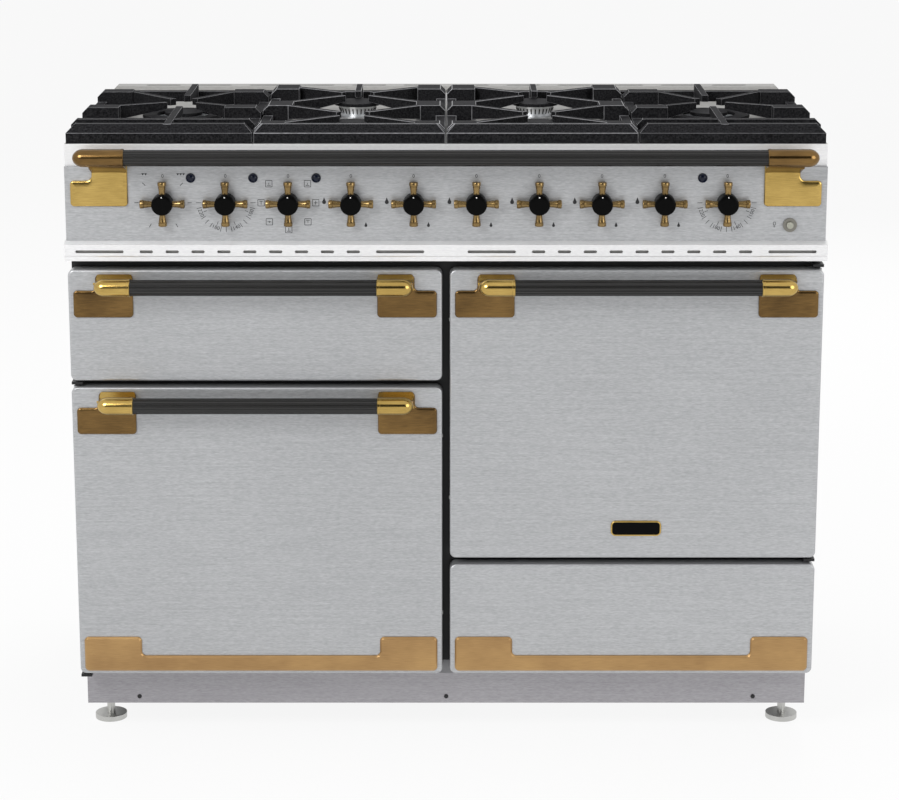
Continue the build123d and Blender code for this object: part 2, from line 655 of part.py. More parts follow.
# Elements: a ring on two posts around each fan, and a bent tube under the grill's roof
with BuildPart() as heating_elements:
    for mouth_x, mouth_z in OVENS:
        ring_y = OVEN_BACK_Y - RING_BACK
        with Locations(front_plane(middle(mouth_x), ring_y, middle(mouth_z))):
            Torus(RING_R, RING_TUBE_R)
        post_z = middle(mouth_z) - (RING_R**2 - RING_POST_X**2) ** 0.5
        for side in (-1, 1):
            post_y = ring_y + RING_TUBE_R + SLIP
            post_from = (middle(mouth_x) + side * RING_POST_X, post_y, post_z)
            rod(post_from, BACKWARD, RING_POST_R, OVEN_BACK_Y - post_y)
    bar_z = GRILL_MOUTH_Z[1] - GRILL_BAR_DOWN
    bar_y = (LINER_Y + GRILL_BAR_FRONT, LINER_Y + GRILL_BAR_FRONT + GRILL_BAR_L)
    first_x = middle(LEFT_MOUTH_X) - (GRILL_BARS - 1) / 2 * GRILL_BAR_PITCH
    corners = [(first_x, GRILL_BACK_Y, bar_z)]
    for n in range(GRILL_BARS - 1):
        turn_y = bar_y[n % 2]
        corners.append((first_x + n * GRILL_BAR_PITCH, turn_y, bar_z))
        corners.append((first_x + (n + 1) * GRILL_BAR_PITCH, turn_y, bar_z))
    corners.append((first_x + (GRILL_BARS - 1) * GRILL_BAR_PITCH, GRILL_BACK_Y, bar_z))
    with BuildLine() as bent_path:
        FilletPolyline(*corners, radius=GRILL_BEND_R)
    with BuildSketch(Plane(origin=corners[0], z_dir=FORWARD)) as tube:
        Circle(GRILL_TUBE_R)
    sweep(tube.sketch, path=bent_path.line)
save(heating_elements, "heating_elements")


# Fronts: sheet folded back all round and open behind, with rounded corners
def folded_front(xs, zs):
    width, height = length(xs), length(zs)
    with BuildSketch(front_plane(middle(xs), FACE_Y, middle(zs))) as face:
        RectangleRounded(width, height, DOOR_CORNER_R)
    extrude(face.sketch, amount=-DOOR_T)
    fillet(edges().group_by(Axis.Y)[0], DOOR_EDGE_R)
    with BuildSketch(front_plane(middle(xs), DOOR_BACK_Y, middle(zs))) as hollow:
        RectangleRounded(width - 2 * DOOR_SKIN, height - 2 * DOOR_SKIN, DOOR_CORNER_R - DOOR_SKIN)
    extrude(hollow.sketch, amount=DOOR_T - DOOR_SKIN, mode=Mode.SUBTRACT)


def hinge_bushes(side, zs):
    """Bushes in the upper and lower folds of an oven door, bored for the hinge pins."""
    pin_x = side * (FACE_X - HINGE_IN)
    pin_y = FACE_Y + HINGE_BACK
    for edge_z, inward in ((zs[0], 1), (zs[1], -1)):
        rod((pin_x, pin_y, edge_z), (0, 0, inward), BUSH_R, BUSH_L)
        rod((pin_x, pin_y, edge_z), (0, 0, inward), PIN_R + RUN, BUSH_L, mode=Mode.SUBTRACT)


def door_liner(xs, zs, mouth_x, mouth_z, side):
    """The panel that closes an oven door's back, raised where it faces the oven."""
    inside_x, inside_z = grown(xs, -DOOR_SKIN - SLIP), grown(zs, -DOOR_SKIN - SLIP)
    with BuildSketch(front_plane(middle(xs), DOOR_BACK_Y, middle(zs))) as plate:
        RectangleRounded(length(inside_x), length(inside_z), DOOR_CORNER_R - DOOR_SKIN)
    extrude(plate.sketch, amount=LINER_T)
    plug_x, plug_z = grown(mouth_x, -PLUG_INSET), grown(mouth_z, -PLUG_INSET)
    with BuildSketch(front_plane(middle(plug_x), DOOR_BACK_Y, middle(plug_z))) as plug:
        RectangleRounded(length(plug_x), length(plug_z), LINER_R)
    extrude(plug.sketch, amount=-PLUG_T)
    fillet(edges().group_by(Axis.Y)[-1], PLUG_T / 2)
    pin_x = side * (FACE_X - HINGE_IN)
    for edge_z, inward in ((zs[0], 1), (zs[1], -1)):
        pin_at = (pin_x, FACE_Y + HINGE_BACK, edge_z)
        rod(pin_at, (0, 0, inward), BUSH_R + SLIP, BUSH_L + SLIP, mode=Mode.SUBTRACT)


with BuildPart() as left_door_panel:
    folded_front(LEFT_X, LEFT_Z)
    hinge_bushes(-1, LEFT_Z)
save(left_door_panel, "left_door_panel")

with BuildPart() as left_door_liner:
    door_liner(LEFT_X, LEFT_Z, LEFT_MOUTH_X, LEFT_MOUTH_Z, -1)
save(left_door_liner, "left_door_liner")

with BuildPart() as right_door_panel:
    folded_front(RIGHT_X, RIGHT_Z)
    hinge_bushes(1, RIGHT_Z)
save(right_door_panel, "right_door_panel")

with BuildPart() as right_door_liner:
    door_liner(RIGHT_X, RIGHT_Z, RIGHT_MOUTH_X, RIGHT_MOUTH_Z, 1)
save(right_door_liner, "right_door_liner")

with BuildPart() as grill_drawer_front:
    folded_front(LEFT_X, GRILL_Z)
save(grill_drawer_front, "grill_drawer_front")

with BuildPart() as storage_drawer_front:
    folded_front(RIGHT_X, STORAGE_Z)
save(storage_drawer_front, "storage_drawer_front")


# Handles: a brass bracket near each end of a front, with a cap that holds the black reeded bar
def end_cap(end_x, inward, bar_z, cap_l):
    """A domed cap around one end of a bar, bored from its inner end."""
    rod((end_x, BAR_Y, bar_z), (inward, 0, 0), CAP_R, cap_l)
    outer_edge = edges().filter_by(GeomType.CIRCLE).sort_by_distance((end_x, BAR_Y, bar_z))[0]
    fillet(outer_edge, CAP_ROUND)


def front_bracket(edge_x, inward, top_z):
    """A bracket whose plate starts near the front's side edge."""
    plate_x = sorted((edge_x + inward * PLATE_IN, edge_x + inward * (PLATE_IN + PLATE_W)))
    inner_x = edge_x + inward * (PLATE_IN + PLATE_W)
    plate_z = (top_z - PLATE_DOWN - PLATE_H, top_z - PLATE_DOWN)
    end_cap(inner_x - inward * CAP_L, inward, top_z - BAR_DOWN, CAP_L)
    with BuildSketch(front_plane(middle(plate_x), FACE_Y, middle(plate_z))) as plate:
        RectangleRounded(PLATE_W, PLATE_H, PLATE_R)
    extrude(plate.sketch, amount=PLATE_T)
    tab_x = sorted((inner_x, inner_x - inward * TAB_W))
    block(tab_x, (FACE_Y - PLATE_T, FACE_Y), (middle(plate_z), top_z - TAB_DOWN))
    arm_mid = inner_x - inward * TAB_W / 2
    arm_z = grown((top_z - BAR_DOWN, top_z - BAR_DOWN), ARM_H / 2)
    block(grown((arm_mid, arm_mid), ARM_W / 2), (BAR_Y, FACE_Y - PLATE_T), arm_z)
    bore_from = (inner_x - inward * CAP_BORE, BAR_Y, top_z - BAR_DOWN)
    rod(bore_from, (inward, 0, 0), BAR_R + HOLE_SLIP, CAP_BORE, mode=Mode.SUBTRACT)


def reeded_bar(xs, bar_z):
    """A round bar with flutes along it."""
    with BuildSketch(Plane(origin=(xs[0], BAR_Y, bar_z), z_dir=RIGHTWARD)) as section:
        Circle(BAR_R)
        with PolarLocations(BAR_R, FLUTES):
            Circle(FLUTE_R, mode=Mode.SUBTRACT)
    extrude(section.sketch, amount=length(xs))


def handle_bar(xs, top_z):
    bar_in = PLATE_IN + PLATE_W - CAP_BORE + HOLE_SLIP
    reeded_bar(grown(xs, -bar_in), top_z - BAR_DOWN)


for front_name, front_x, front_top in (
    ("grill", LEFT_X, GRILL_Z[1]),
    ("left", LEFT_X, LEFT_Z[1]),
    ("right", RIGHT_X, RIGHT_Z[1]),
):
    with BuildPart() as brackets:
        front_bracket(front_x[0], 1, front_top)
        front_bracket(front_x[1], -1, front_top)
    save(brackets, f"{front_name}_handle_brackets")
    with BuildPart() as bar:
        handle_bar(front_x, front_top)
    save(bar, f"{front_name}_handle_bar")

# Hand rail: the same bar across the front of the hob, on brackets fixed to the control panel
with BuildPart() as hand_rail_brackets:
    plate_z = (SKIRT_Z0 - RAIL_PLATE_DOWN - RAIL_PLATE_H, SKIRT_Z0 - RAIL_PLATE_DOWN)
    for side in (-1, 1):
        end_cap(side * RAIL_CAP_X, -side, RAIL_Z, RAIL_CAP_L)
        inner_x = RAIL_CAP_X - RAIL_CAP_L
        plate_mid = side * (inner_x + RAIL_PLATE_W / 2)
        with BuildSketch(front_plane(plate_mid, FACE_Y, middle(plate_z))) as plate:
            RectangleRounded(RAIL_PLATE_W, RAIL_PLATE_H, PLATE_R)
        extrude(plate.sketch, amount=PLATE_T)
        neck_x = sorted((side * inner_x, side * (inner_x + RAIL_NECK_W)))
        block(neck_x, (FACE_Y - PLATE_T, FACE_Y), (middle(plate_z), plate_z[1] + RAIL_NECK_UP))
        arm_z = (plate_z[1] + RAIL_NECK_UP - RAIL_ARM_H, plate_z[1] + RAIL_NECK_UP)
        block(neck_x, (BAR_Y, FACE_Y), arm_z)
        block(neck_x, (BAR_Y - BAR_R, BAR_Y + BAR_R), (arm_z[0], RAIL_Z))
        bore_from = (side * (RAIL_CAP_X - RAIL_CAP_L + CAP_BORE), BAR_Y, RAIL_Z)
        rod(bore_from, (-side, 0, 0), BAR_R + HOLE_SLIP, CAP_BORE, mode=Mode.SUBTRACT)
save(hand_rail_brackets, "hand_rail_brackets")

with BuildPart() as hand_rail_bar:
    rail_half = RAIL_CAP_X - RAIL_CAP_L + CAP_BORE - HOLE_SLIP
    reeded_bar((-rail_half, rail_half), RAIL_Z)
save(hand_rail_bar, "hand_rail_bar")


# Bottom trims: a brass strip with a taller block at each end
def bottom_trim(xs, zs):
    trim_x = grown(xs, -BRASS_IN)
    low_z = zs[0] + BRASS_UP
    half = length(trim_x) / 2
    step = half - BRASS_END_W
    with BuildSketch(front_plane(middle(xs), FACE_Y, low_z)) as outline:
        with BuildLine():
            Polyline(
                (-half, 0),
                (half, 0),
                (half, BRASS_END_H),
                (step, BRASS_END_H),
                (step, BRASS_H),
                (-step, BRASS_H),
                (-step, BRASS_END_H),
                (-half, BRASS_END_H),
                close=True,
            )
        make_face()
        fillet(vertices(), BRASS_R)
    extrude(outline.sketch, amount=BRASS_T)
    chamfer(edges().group_by(Axis.Y)[0], BRASS_CHAMFER)


with BuildPart() as left_door_trim:
    bottom_trim(LEFT_X, LEFT_Z)
save(left_door_trim, "left_door_trim")

with BuildPart() as storage_drawer_trim:
    bottom_trim(RIGHT_X, STORAGE_Z)
save(storage_drawer_trim, "storage_drawer_trim")

# Grill: a carriage on two runners, with a pan and its wire trivet
RUNNER_LOW = GRILL_MOUTH_Z[0] + LINER_R + RUNNER_UP
RUNNER_Z = (RUNNER_LOW, RUNNER_LOW + RUNNER_H)
CARRIAGE_Z = (RUNNER_Z[1] + SLIP, RUNNER_Z[1] + SLIP + CARRIAGE_T)
CARRIAGE_Y1 = GRILL_BACK_Y - PAN_BACK
STORAGE_RUNNER_Z = (
    STORAGE_MOUTH_Z[0] + STORAGE_RUNNER_UP,
    STORAGE_MOUTH_Z[0] + STORAGE_RUNNER_UP + STORAGE_RUNNER_H,
)
with BuildPart() as drawer_runners:
    for wall, inward in ((LEFT_MOUTH_X[0], 1), (LEFT_MOUTH_X[1], -1)):
        runner_x = sorted((wall, wall + inward * RUNNER_T))
        block(runner_x, (LINER_Y, GRILL_BACK_Y), RUNNER_Z)
    for wall, inward in ((RIGHT_MOUTH_X[0], 1), (RIGHT_MOUTH_X[1], -1)):
        shown = wall + inward * STORAGE_RUNNER_SHOW
        runner_x = sorted((shown, shown - inward * STORAGE_RUNNER_W))
        block(runner_x, (LINER_Y, BACK_PANEL_Y - SHEET), STORAGE_RUNNER_Z)
save(drawer_runners, "drawer_runners")

with BuildPart() as grill_carriage:
    carriage_y = (FRONT_IN_Y, CARRIAGE_Y1)
    for wall, inward in ((LEFT_MOUTH_X[0], 1), (LEFT_MOUTH_X[1], -1)):
        near, far = wall + inward * SLIP, wall + inward * (RUNNER_T + CARRIAGE_RAIL)
        block(sorted((near, far)), carriage_y, CARRIAGE_Z)
    cross_x = grown(LEFT_MOUTH_X, -SLIP)
    block(cross_x, (carriage_y[0], carriage_y[0] + CARRIAGE_RAIL), CARRIAGE_Z)
    block(cross_x, (CARRIAGE_Y1 - CARRIAGE_RAIL, CARRIAGE_Y1), CARRIAGE_Z)
save(grill_carriage, "grill_carriage")

PAN_X = grown(LEFT_MOUTH_X, -RUNNER_T - CARRIAGE_T)
PAN_Y = (DOOR_BACK_Y + PAN_IN, CARRIAGE_Y1)
PAN_Z = (CARRIAGE_Z[1], CARRIAGE_Z[1] + PAN_H)
with BuildPart() as grill_pan:
    block(PAN_X, PAN_Y, PAN_Z)
    floor_z = PAN_Z[0] + PAN_FLOOR_UP
    block(grown(PAN_X, -PAN_WALL), grown(PAN_Y, -PAN_WALL), (floor_z, PAN_Z[1]), mode=Mode.SUBTRACT)
    trivet_x, trivet_y = grown(PAN_X, -PAN_WALL - SLIP), grown(PAN_Y, -PAN_WALL - SLIP)
    trivet_z = (floor_z + SLIP, floor_z + SLIP + TRIVET_T)
    trivet_pitch = (length(trivet_x) - TRIVET_T) / (TRIVET_WIRES - 1)
    for n in range(TRIVET_WIRES):
        wire_x = trivet_x[0] + n * trivet_pitch
        block((wire_x, wire_x + TRIVET_T), trivet_y, trivet_z)
    for wire_y in (trivet_y[0], middle(trivet_y), trivet_y[1] - TRIVET_T):
        block(trivet_x, (wire_y, wire_y + TRIVET_T), trivet_z)
save(grill_pan, "grill_pan")

with BuildPart() as storage_drawer_box:
    box_x = grown(RIGHT_MOUTH_X, -STORAGE_RUNNER_SHOW - SLIP)
    box_y = (FRONT_IN_Y, DOOR_BACK_Y + STORAGE_BOX_L)
    box_z = (STORAGE_MOUTH_Z[0] + STORAGE_BOX_UP, STORAGE_MOUTH_Z[0] + STORAGE_BOX_UP + STORAGE_BOX_H)
    block(box_x, box_y, box_z)
    hollow_z = (box_z[0] + STORAGE_WALL, box_z[1])
    block(grown(box_x, -STORAGE_WALL), grown(box_y, -STORAGE_WALL), hollow_z, mode=Mode.SUBTRACT)
    flange_z = (STORAGE_RUNNER_Z[1] + SLIP, STORAGE_RUNNER_Z[1] + SLIP + STORAGE_FLANGE_T)
    for wall, inward in ((RIGHT_MOUTH_X[0], 1), (RIGHT_MOUTH_X[1], -1)):
        flange_far = wall + inward * (STORAGE_RUNNER_SHOW + SLIP)
        flange_x = sorted((wall + inward * STORAGE_FLANGE_CLEAR, flange_far))
        block(flange_x, (LINER_Y, box_y[1]), flange_z)
save(storage_drawer_box, "storage_drawer_box")

# Vent trim: a folded strip with a sloping top and a row of air slots
with BuildPart() as vent_trim:
    top_z = TRIM_Z0 + TRIM_H
    trim_y = FACE_Y - TRIM_OUT
    lip_y = trim_y + TRIM_LIP_IN
    lip_z = TRIM_Z0 + TRIM_LIP_H
    slope_z = top_z - TRIM_SLOPE_H
    with BuildSketch(Plane(origin=(-TRIM_X, 0, 0), x_dir=BACKWARD, z_dir=RIGHTWARD)) as profile:
        with BuildLine():
            Polyline(
                (FRAME_Y, TRIM_Z0),
                (lip_y, TRIM_Z0),
                (lip_y, lip_z - TRIM_LIP_IN),
                (trim_y, lip_z),
                (trim_y, slope_z),
                (FACE_Y, top_z),
                (FRAME_Y, top_z),
                close=True,
            )
        make_face()
    extrude(profile.sketch, amount=2 * TRIM_X)
    hollow_half = TRIM_X - TRIM_WALL
    hollow_z = (TRIM_Z0 + TRIM_WALL, slope_z - TRIM_WALL)
    block((-hollow_half, hollow_half), (lip_y + TRIM_WALL, FRAME_Y), hollow_z, mode=Mode.SUBTRACT)
    slot_depth = TRIM_LIP_IN + TRIM_WALL
    last_x = TRIM_X - SLOT_LAST_IN
    short_count = 1 + int((last_x - SLOT_LONG / 2 - SLOT_SHORT_X) / SLOT_PITCH)
    with BuildSketch(front_plane(0, trim_y, TRIM_Z0 + SLOT_Z)) as slots:
        for side in (-1, 1):
            with Locations((side * SLOT_FIRST_X, 0), (side * last_x, 0)):
                SlotOverall(SLOT_LONG, SLOT_H)
            shorts = [(side * (SLOT_SHORT_X + n * SLOT_PITCH), 0) for n in range(short_count)]
            with Locations(*shorts):
                SlotOverall(SLOT_SHORT, SLOT_H)
    extrude(slots.sketch, amount=-slot_depth, mode=Mode.SUBTRACT)
save(vent_trim, "vent_trim")

# Control panel: folded sheet with holes for the spindles, the lamps and the light switch
with BuildPart() as control_panel:
    panel_x = (-FACE_X, FACE_X)
    block(panel_x, (FACE_Y, FRAME_Y), (PANEL_Z0, SKIRT_Z0))
    hollow_z = (PANEL_Z0 + SHEET, SKIRT_Z0 - SHEET)
    block(grown(panel_x, -SHEET), (PANEL_IN_Y, FRAME_Y), hollow_z, mode=Mode.SUBTRACT)
    for knob_x in KNOB_XS:
        rod((knob_x, FACE_Y, KNOB_Z), BACKWARD, SPINDLE_HOLE_R, SHEET, mode=Mode.SUBTRACT)
    for lamp_x in LAMP_XS:
        lamp_at = (lamp_x, FACE_Y, PANEL_Z0 + LAMP_UP)
        rod(lamp_at, BACKWARD, LAMP_BARREL_R + HOLE_SLIP, SHEET, mode=Mode.SUBTRACT)
    button_at = (BUTTON_X, FACE_Y, PANEL_Z0 + BUTTON_UP)
    rod(button_at, BACKWARD, BARREL_R + HOLE_SLIP, SHEET, mode=Mode.SUBTRACT)
save(control_panel, "control_panel")

with BuildPart() as indicator_lamps:
    for lamp_x in LAMP_XS:
        lamp_at = (lamp_x, FACE_Y, PANEL_Z0 + LAMP_UP)
        rod(lamp_at, FORWARD, LAMP_R, LAMP_T)
        rod(lamp_at, BACKWARD, LAMP_BARREL_R, LAMP_BARREL_L)
    fillet(edges().group_by(Axis.Y)[0], LAMP_T / 2)
save(indicator_lamps, "indicator_lamps")

# Gas rail with a tap behind each gas knob
with BuildPart() as gas_rail:
    rail_z = KNOB_Z - GAS_RAIL_DOWN
    tap_y = (FRAME_Y, FRAME_Y + TAP_D)
    rail_from = (GAS_XS[0] - TAP_W, middle(tap_y), rail_z)
    rod(rail_from, RIGHTWARD, GAS_RAIL_R, GAS_XS[-1] - GAS_XS[0] + 2 * TAP_W)
    for tap_x in GAS_XS:
        block(grown((tap_x, tap_x), TAP_W / 2), tap_y, (rail_z, rail_z + TAP_H))
        rod((tap_x, PANEL_IN_Y, KNOB_Z), BACKWARD, TAP_NOSE_R, FRAME_Y - PANEL_IN_Y)
        rod((tap_x, PANEL_IN_Y, KNOB_Z), BACKWARD, SPINDLE_R + RUN, SPINDLE_L, mode=Mode.SUBTRACT)
save(gas_rail, "gas_rail")

# Oven controls: thermostats, selector and grill regulator behind their knobs, and the light switch's barrel
with BuildPart() as oven_controls:
    for switch_x in OVEN_SWITCH_XS:
        switch_xs = grown((switch_x, switch_x), SWITCH_W / 2)
        switch_zs = grown((KNOB_Z, KNOB_Z), SWITCH_W / 2)
        block(switch_xs, (FRAME_Y, FRAME_Y + SWITCH_D), switch_zs)
        rod((switch_x, PANEL_IN_Y, KNOB_Z), BACKWARD, TAP_NOSE_R, FRAME_Y - PANEL_IN_Y)
        rod((switch_x, PANEL_IN_Y, KNOB_Z), BACKWARD, SPINDLE_R + RUN, SPINDLE_L, mode=Mode.SUBTRACT)
    rod(button_at, FORWARD, BEZEL_R, BEZEL_T)
    rod(button_at, BACKWARD, BARREL_R, BARREL_L)
    bezel_face = (BUTTON_X, FACE_Y - BEZEL_T, PANEL_Z0 + BUTTON_UP)
    rod(bezel_face, BACKWARD, BUTTON_R + RUN, BUTTON_L + BUTTON_TRAVEL, mode=Mode.SUBTRACT)
save(oven_controls, "oven_controls")

with BuildPart() as light_button:
    button_face = (BUTTON_X, FACE_Y - BEZEL_T - BUTTON_PROUD, PANEL_Z0 + BUTTON_UP)
    rod(button_face, BACKWARD, BUTTON_R, BUTTON_L + BUTTON_PROUD)
    fillet(edges().group_by(Axis.Y)[0], BUTTON_TRAVEL / 2)
save(light_button, "light_button")


# Knobs: a black hub on a spindle, with four flared brass spokes set into it
def make_knob(knob_x):
    hub_y = FACE_Y - HUB_GAP
    spoke_y = hub_y - HUB_L / 2
    rod((knob_x, hub_y, KNOB_Z), FORWARD, HUB_R, HUB_L)
    fillet(edges().group_by(Axis.Y)[0], HUB_EDGE)
    rod((knob_x, hub_y, KNOB_Z), BACKWARD, SPINDLE_R, SPINDLE_L)
    for quarter in range(4):
        turn = quarter * pi / 2
        out = (cos(turn), 0, sin(turn))
        seat = HUB_R - TENON_L - TENON_SLIP
        root = (knob_x + seat * out[0], spoke_y, KNOB_Z + seat * out[2])
        rod(root, out, TENON_R + TENON_SLIP, HUB_R, mode=Mode.SUBTRACT)
    for quarter in range(4):
        turn = quarter * pi / 2
        out = (cos(turn), 0, sin(turn))
        along = Plane(origin=(knob_x, spoke_y, KNOB_Z), x_dir=out, z_dir=FORWARD)
        with BuildSketch(along) as half_section:
            with BuildLine():
                Polyline(
                    (HUB_R - TENON_L, 0),
                    (HUB_R - TENON_L, TENON_R),
                    (HUB_R + TENON_SLIP, TENON_R),
                    (HUB_R + TENON_SLIP, SPOKE_ROOT_R),
                    (SPOKE_REACH - SPOKE_BAND - SPOKE_FLARE, SPOKE_ROOT_R),
                    (SPOKE_REACH - SPOKE_BAND, SPOKE_END_R),
                    (SPOKE_REACH - SPOKE_FLARE, SPOKE_END_R),
                    (SPOKE_REACH, SPOKE_ROOT_R),
                    (SPOKE_REACH, 0),
                    close=True,
                )
            make_face()
        revolve(half_section.sketch, axis=Axis((knob_x, spoke_y, KNOB_Z), out))


for number, knob_x in enumerate(KNOB_XS, 1):
    with BuildPart() as knob:
        make_knob(knob_x)
    save(knob, f"knob_{number}")

# Hob: a pressed stainless tray with a skirt, a sunk well and a hole for each burner
WOK_BURNERS = [(side * WOK_X, WOK_Y) for side in (-1, 1)]
PAIR_BURNERS = []
for side in (-1, 1):
    PAIR_BURNERS.append((side * PAIR_X, PAIR_FRONT_Y, FRONT_CAP_R))
    PAIR_BURNERS.append((side * PAIR_X, PAIR_BACK_Y, BACK_CAP_R))
BURNERS = WOK_BURNERS + [(burner_x, burner_y) for burner_x, burner_y, cap_r in PAIR_BURNERS]
with BuildPart() as hob_top:
    hob_x, hob_y = (-FACE_X, FACE_X), (HOB_Y0, HOB_Y1)
    block(hob_x, hob_y, (SKIRT_Z0, HOB_Z))
    block(grown(hob_x, -HOB_RIM), grown(hob_y, -HOB_RIM), (WELL_Z, HOB_Z), mode=Mode.SUBTRACT)
    under_z = (SKIRT_Z0, WELL_Z - HOB_WALL)
    block(grown(hob_x, -HOB_WALL), grown(hob_y, -HOB_WALL), under_z, mode=Mode.SUBTRACT)
    for burner_x, burner_y in BURNERS:
        hole_from = (burner_x, burner_y, WELL_Z - HOB_WALL)
        rod(hole_from, UP, THROAT_R + THROAT_SLIP, HOB_WALL, mode=Mode.SUBTRACT)
save(hob_top, "hob_top")

with BuildPart() as rear_vent:
    vent_x, vent_y = (-BODY_X, BODY_X), (HOB_Y1, BACK_Y)
    slot_count = int((length(vent_x) - VENT_SLOT_L) / VENT_SLOT_PITCH)
    vent_z = (SKIRT_Z0, HOB_Z + VENT_UP)
    block(vent_x, vent_y, vent_z)
    chamfer(edges().group_by(Axis.Z)[-1], VENT_CHAMFER)
    block(grown(vent_x, -HOB_WALL), grown(vent_y, -HOB_WALL), (vent_z[0], HOB_Z), mode=Mode.SUBTRACT)
    with BuildSketch(Plane.XY.offset(vent_z[1])) as slots:
        with Locations((0, middle(vent_y))):
            with GridLocations(VENT_SLOT_PITCH, 1, slot_count, 1):
                SlotOverall(VENT_SLOT_L, VENT_SLOT_W)
    extrude(slots.sketch, amount=HOB_Z - vent_z[1], mode=Mode.SUBTRACT)
save(rear_vent, "rear_vent")

# Burners: cast heads that stand in the well, and black caps on top
with BuildPart() as burner_heads:
    for burner_x, burner_y in BURNERS:
        rod((burner_x, burner_y, WELL_Z), DOWN, THROAT_R, THROAT_L)
    for burner_x, burner_y in WOK_BURNERS:
        rod((burner_x, burner_y, WELL_Z), UP, WOK_R, WOK_RING_H)
        rod((burner_x, burner_y, WELL_Z + WOK_BASE_H), UP, WOK_RING_IN, WOK_RING_H, mode=Mode.SUBTRACT)
        rod((burner_x, burner_y, WELL_Z), UP, WOK_MIDDLE_R, WOK_MIDDLE_H)
    for burner_x, burner_y, cap_r in PAIR_BURNERS:
        rod((burner_x, burner_y, WELL_Z), UP, CROWN_BASE_R, CROWN_BASE_H)
        with Locations((burner_x, burner_y, WELL_Z + CROWN_BASE_H)):
            Cone(CROWN_R, CROWN_TOP_R, CROWN_H, align=(Align.CENTER, Align.CENTER, Align.MIN))
save(burner_heads, "burner_heads")

with BuildPart() as burner_caps:
    for burner_x, burner_y in WOK_BURNERS:
        ring_from = (burner_x, burner_y, WELL_Z + WOK_RING_H)
        rod(ring_from, UP, WOK_R, CAP_T)
        rod(ring_from, UP, WOK_RING_IN, CAP_T, mode=Mode.SUBTRACT)
        rod((burner_x, burner_y, WELL_Z + WOK_MIDDLE_H), UP, WOK_CAP_R, CAP_T)
    for burner_x, burner_y, cap_r in PAIR_BURNERS:
        rod((burner_x, burner_y, WELL_Z + CROWN_BASE_H + CROWN_H), UP, cap_r, CAP_T)
save(burner_caps, "burner_caps")

# Pan supports: a cast frame with raised lugs at its sides and fingers that point at the burners
GRATE_Y = (HOB_Y0 + GRATE_SETBACK, HOB_Y0 + GRATE_SETBACK + GRATE_L)
GRATE_TOP = HOB_Z + GRATE_H


def grate_frame(xs):
    """Front bar, rear bar, low side rails, and feet that stand in the hob's well."""
    bar_y = (GRATE_Y[0], GRATE_Y[0] + GRATE_BAR)
    block(xs, bar_y, (HOB_Z, GRATE_TOP))
    top_edges = edges().group_by(Axis.Z)[-1]
    chamfer(top_edges.sort_by(Axis.Y)[:-1], GRATE_CHAMFER)
    block(xs, (GRATE_Y[1] - GRATE_RAIL_W, GRATE_Y[1]), (HOB_Z, HOB_Z + GRATE_REAR_H))
    for rail_x in ((xs[0], xs[0] + GRATE_RAIL_W), (xs[1] - GRATE_RAIL_W, xs[1])):
        block(rail_x, (bar_y[1], GRATE_Y[1]), (HOB_Z, HOB_Z + GRATE_RAIL_H))
    foot_x = grown(xs, -GRATE_RAIL_W)
    for x in (foot_x[0], foot_x[1] - GRATE_FOOT):
        for y in (bar_y[1] - GRATE_FOOT, GRATE_Y[1] - GRATE_FOOT):
            block((x, x + GRATE_FOOT), (y, y + GRATE_FOOT), (WELL_Z, HOB_Z))


def cast_section(outline, ys):
    """An outline in X and Z, carried along Y."""
    with BuildSketch(Plane(origin=(0, ys[0], 0), x_dir=RIGHTWARD, z_dir=FORWARD)) as section:
        with BuildLine():
            Polyline(*outline, close=True)
        make_face()
    extrude(section.sketch, amount=-length(ys))


def grate_lug(edge_x, inward, ys, reach):
    """A raised lug on a side rail, chamfered towards the outside."""
    outline = [
        (edge_x, HOB_Z),
        (edge_x, GRATE_TOP - LUG_CHAMFER),
        (edge_x + inward * LUG_CHAMFER, GRATE_TOP),
        (edge_x + inward * reach, GRATE_TOP),
        (edge_x + inward * reach, GRATE_TOP - FINGER_ROOT_H),
        (edge_x + inward * GRATE_RAIL_W, HOB_Z),
    ]
    cast_section(outline, ys)


def cross_bar(xs, ys):
    """A bar from rail to rail, chamfered at its ends like the lugs."""
    outline = [
        (xs[0], HOB_Z),
        (xs[0], GRATE_TOP - LUG_CHAMFER),
        (xs[0] + LUG_CHAMFER, GRATE_TOP),
        (xs[1] - LUG_CHAMFER, GRATE_TOP),
        (xs[1], GRATE_TOP - LUG_CHAMFER),
        (xs[1], HOB_Z),
    ]
    cast_section(outline, ys)


def finger(root, tip):
    """A blade from a lug or bar towards a burner, deeper at its root."""
    run = hypot(tip[0] - root[0], tip[1] - root[1])
    along = ((tip[0] - root[0]) / run, (tip[1] - root[1]) / run, 0)
    upright = Plane(origin=(*root, GRATE_TOP), x_dir=along, z_dir=(along[1], -along[0], 0))
    with BuildSketch(upright) as blade:
        with BuildLine():
            Polyline((0, 0), (run, 0), (run, -FINGER_TIP_H), (0, -FINGER_ROOT_H), close=True)
        make_face()
    extrude(blade.sketch, amount=FINGER_T / 2, both=True)


def towards(root, burner, stop_short):
    """The point on the line from a root to a burner's middle that stops short of that middle."""
    away = hypot(root[0] - burner[0], root[1] - burner[1])
    share = stop_short / away
    return (burner[0] + (root[0] - burner[0]) * share, burner[1] + (root[1] - burner[1]) * share)


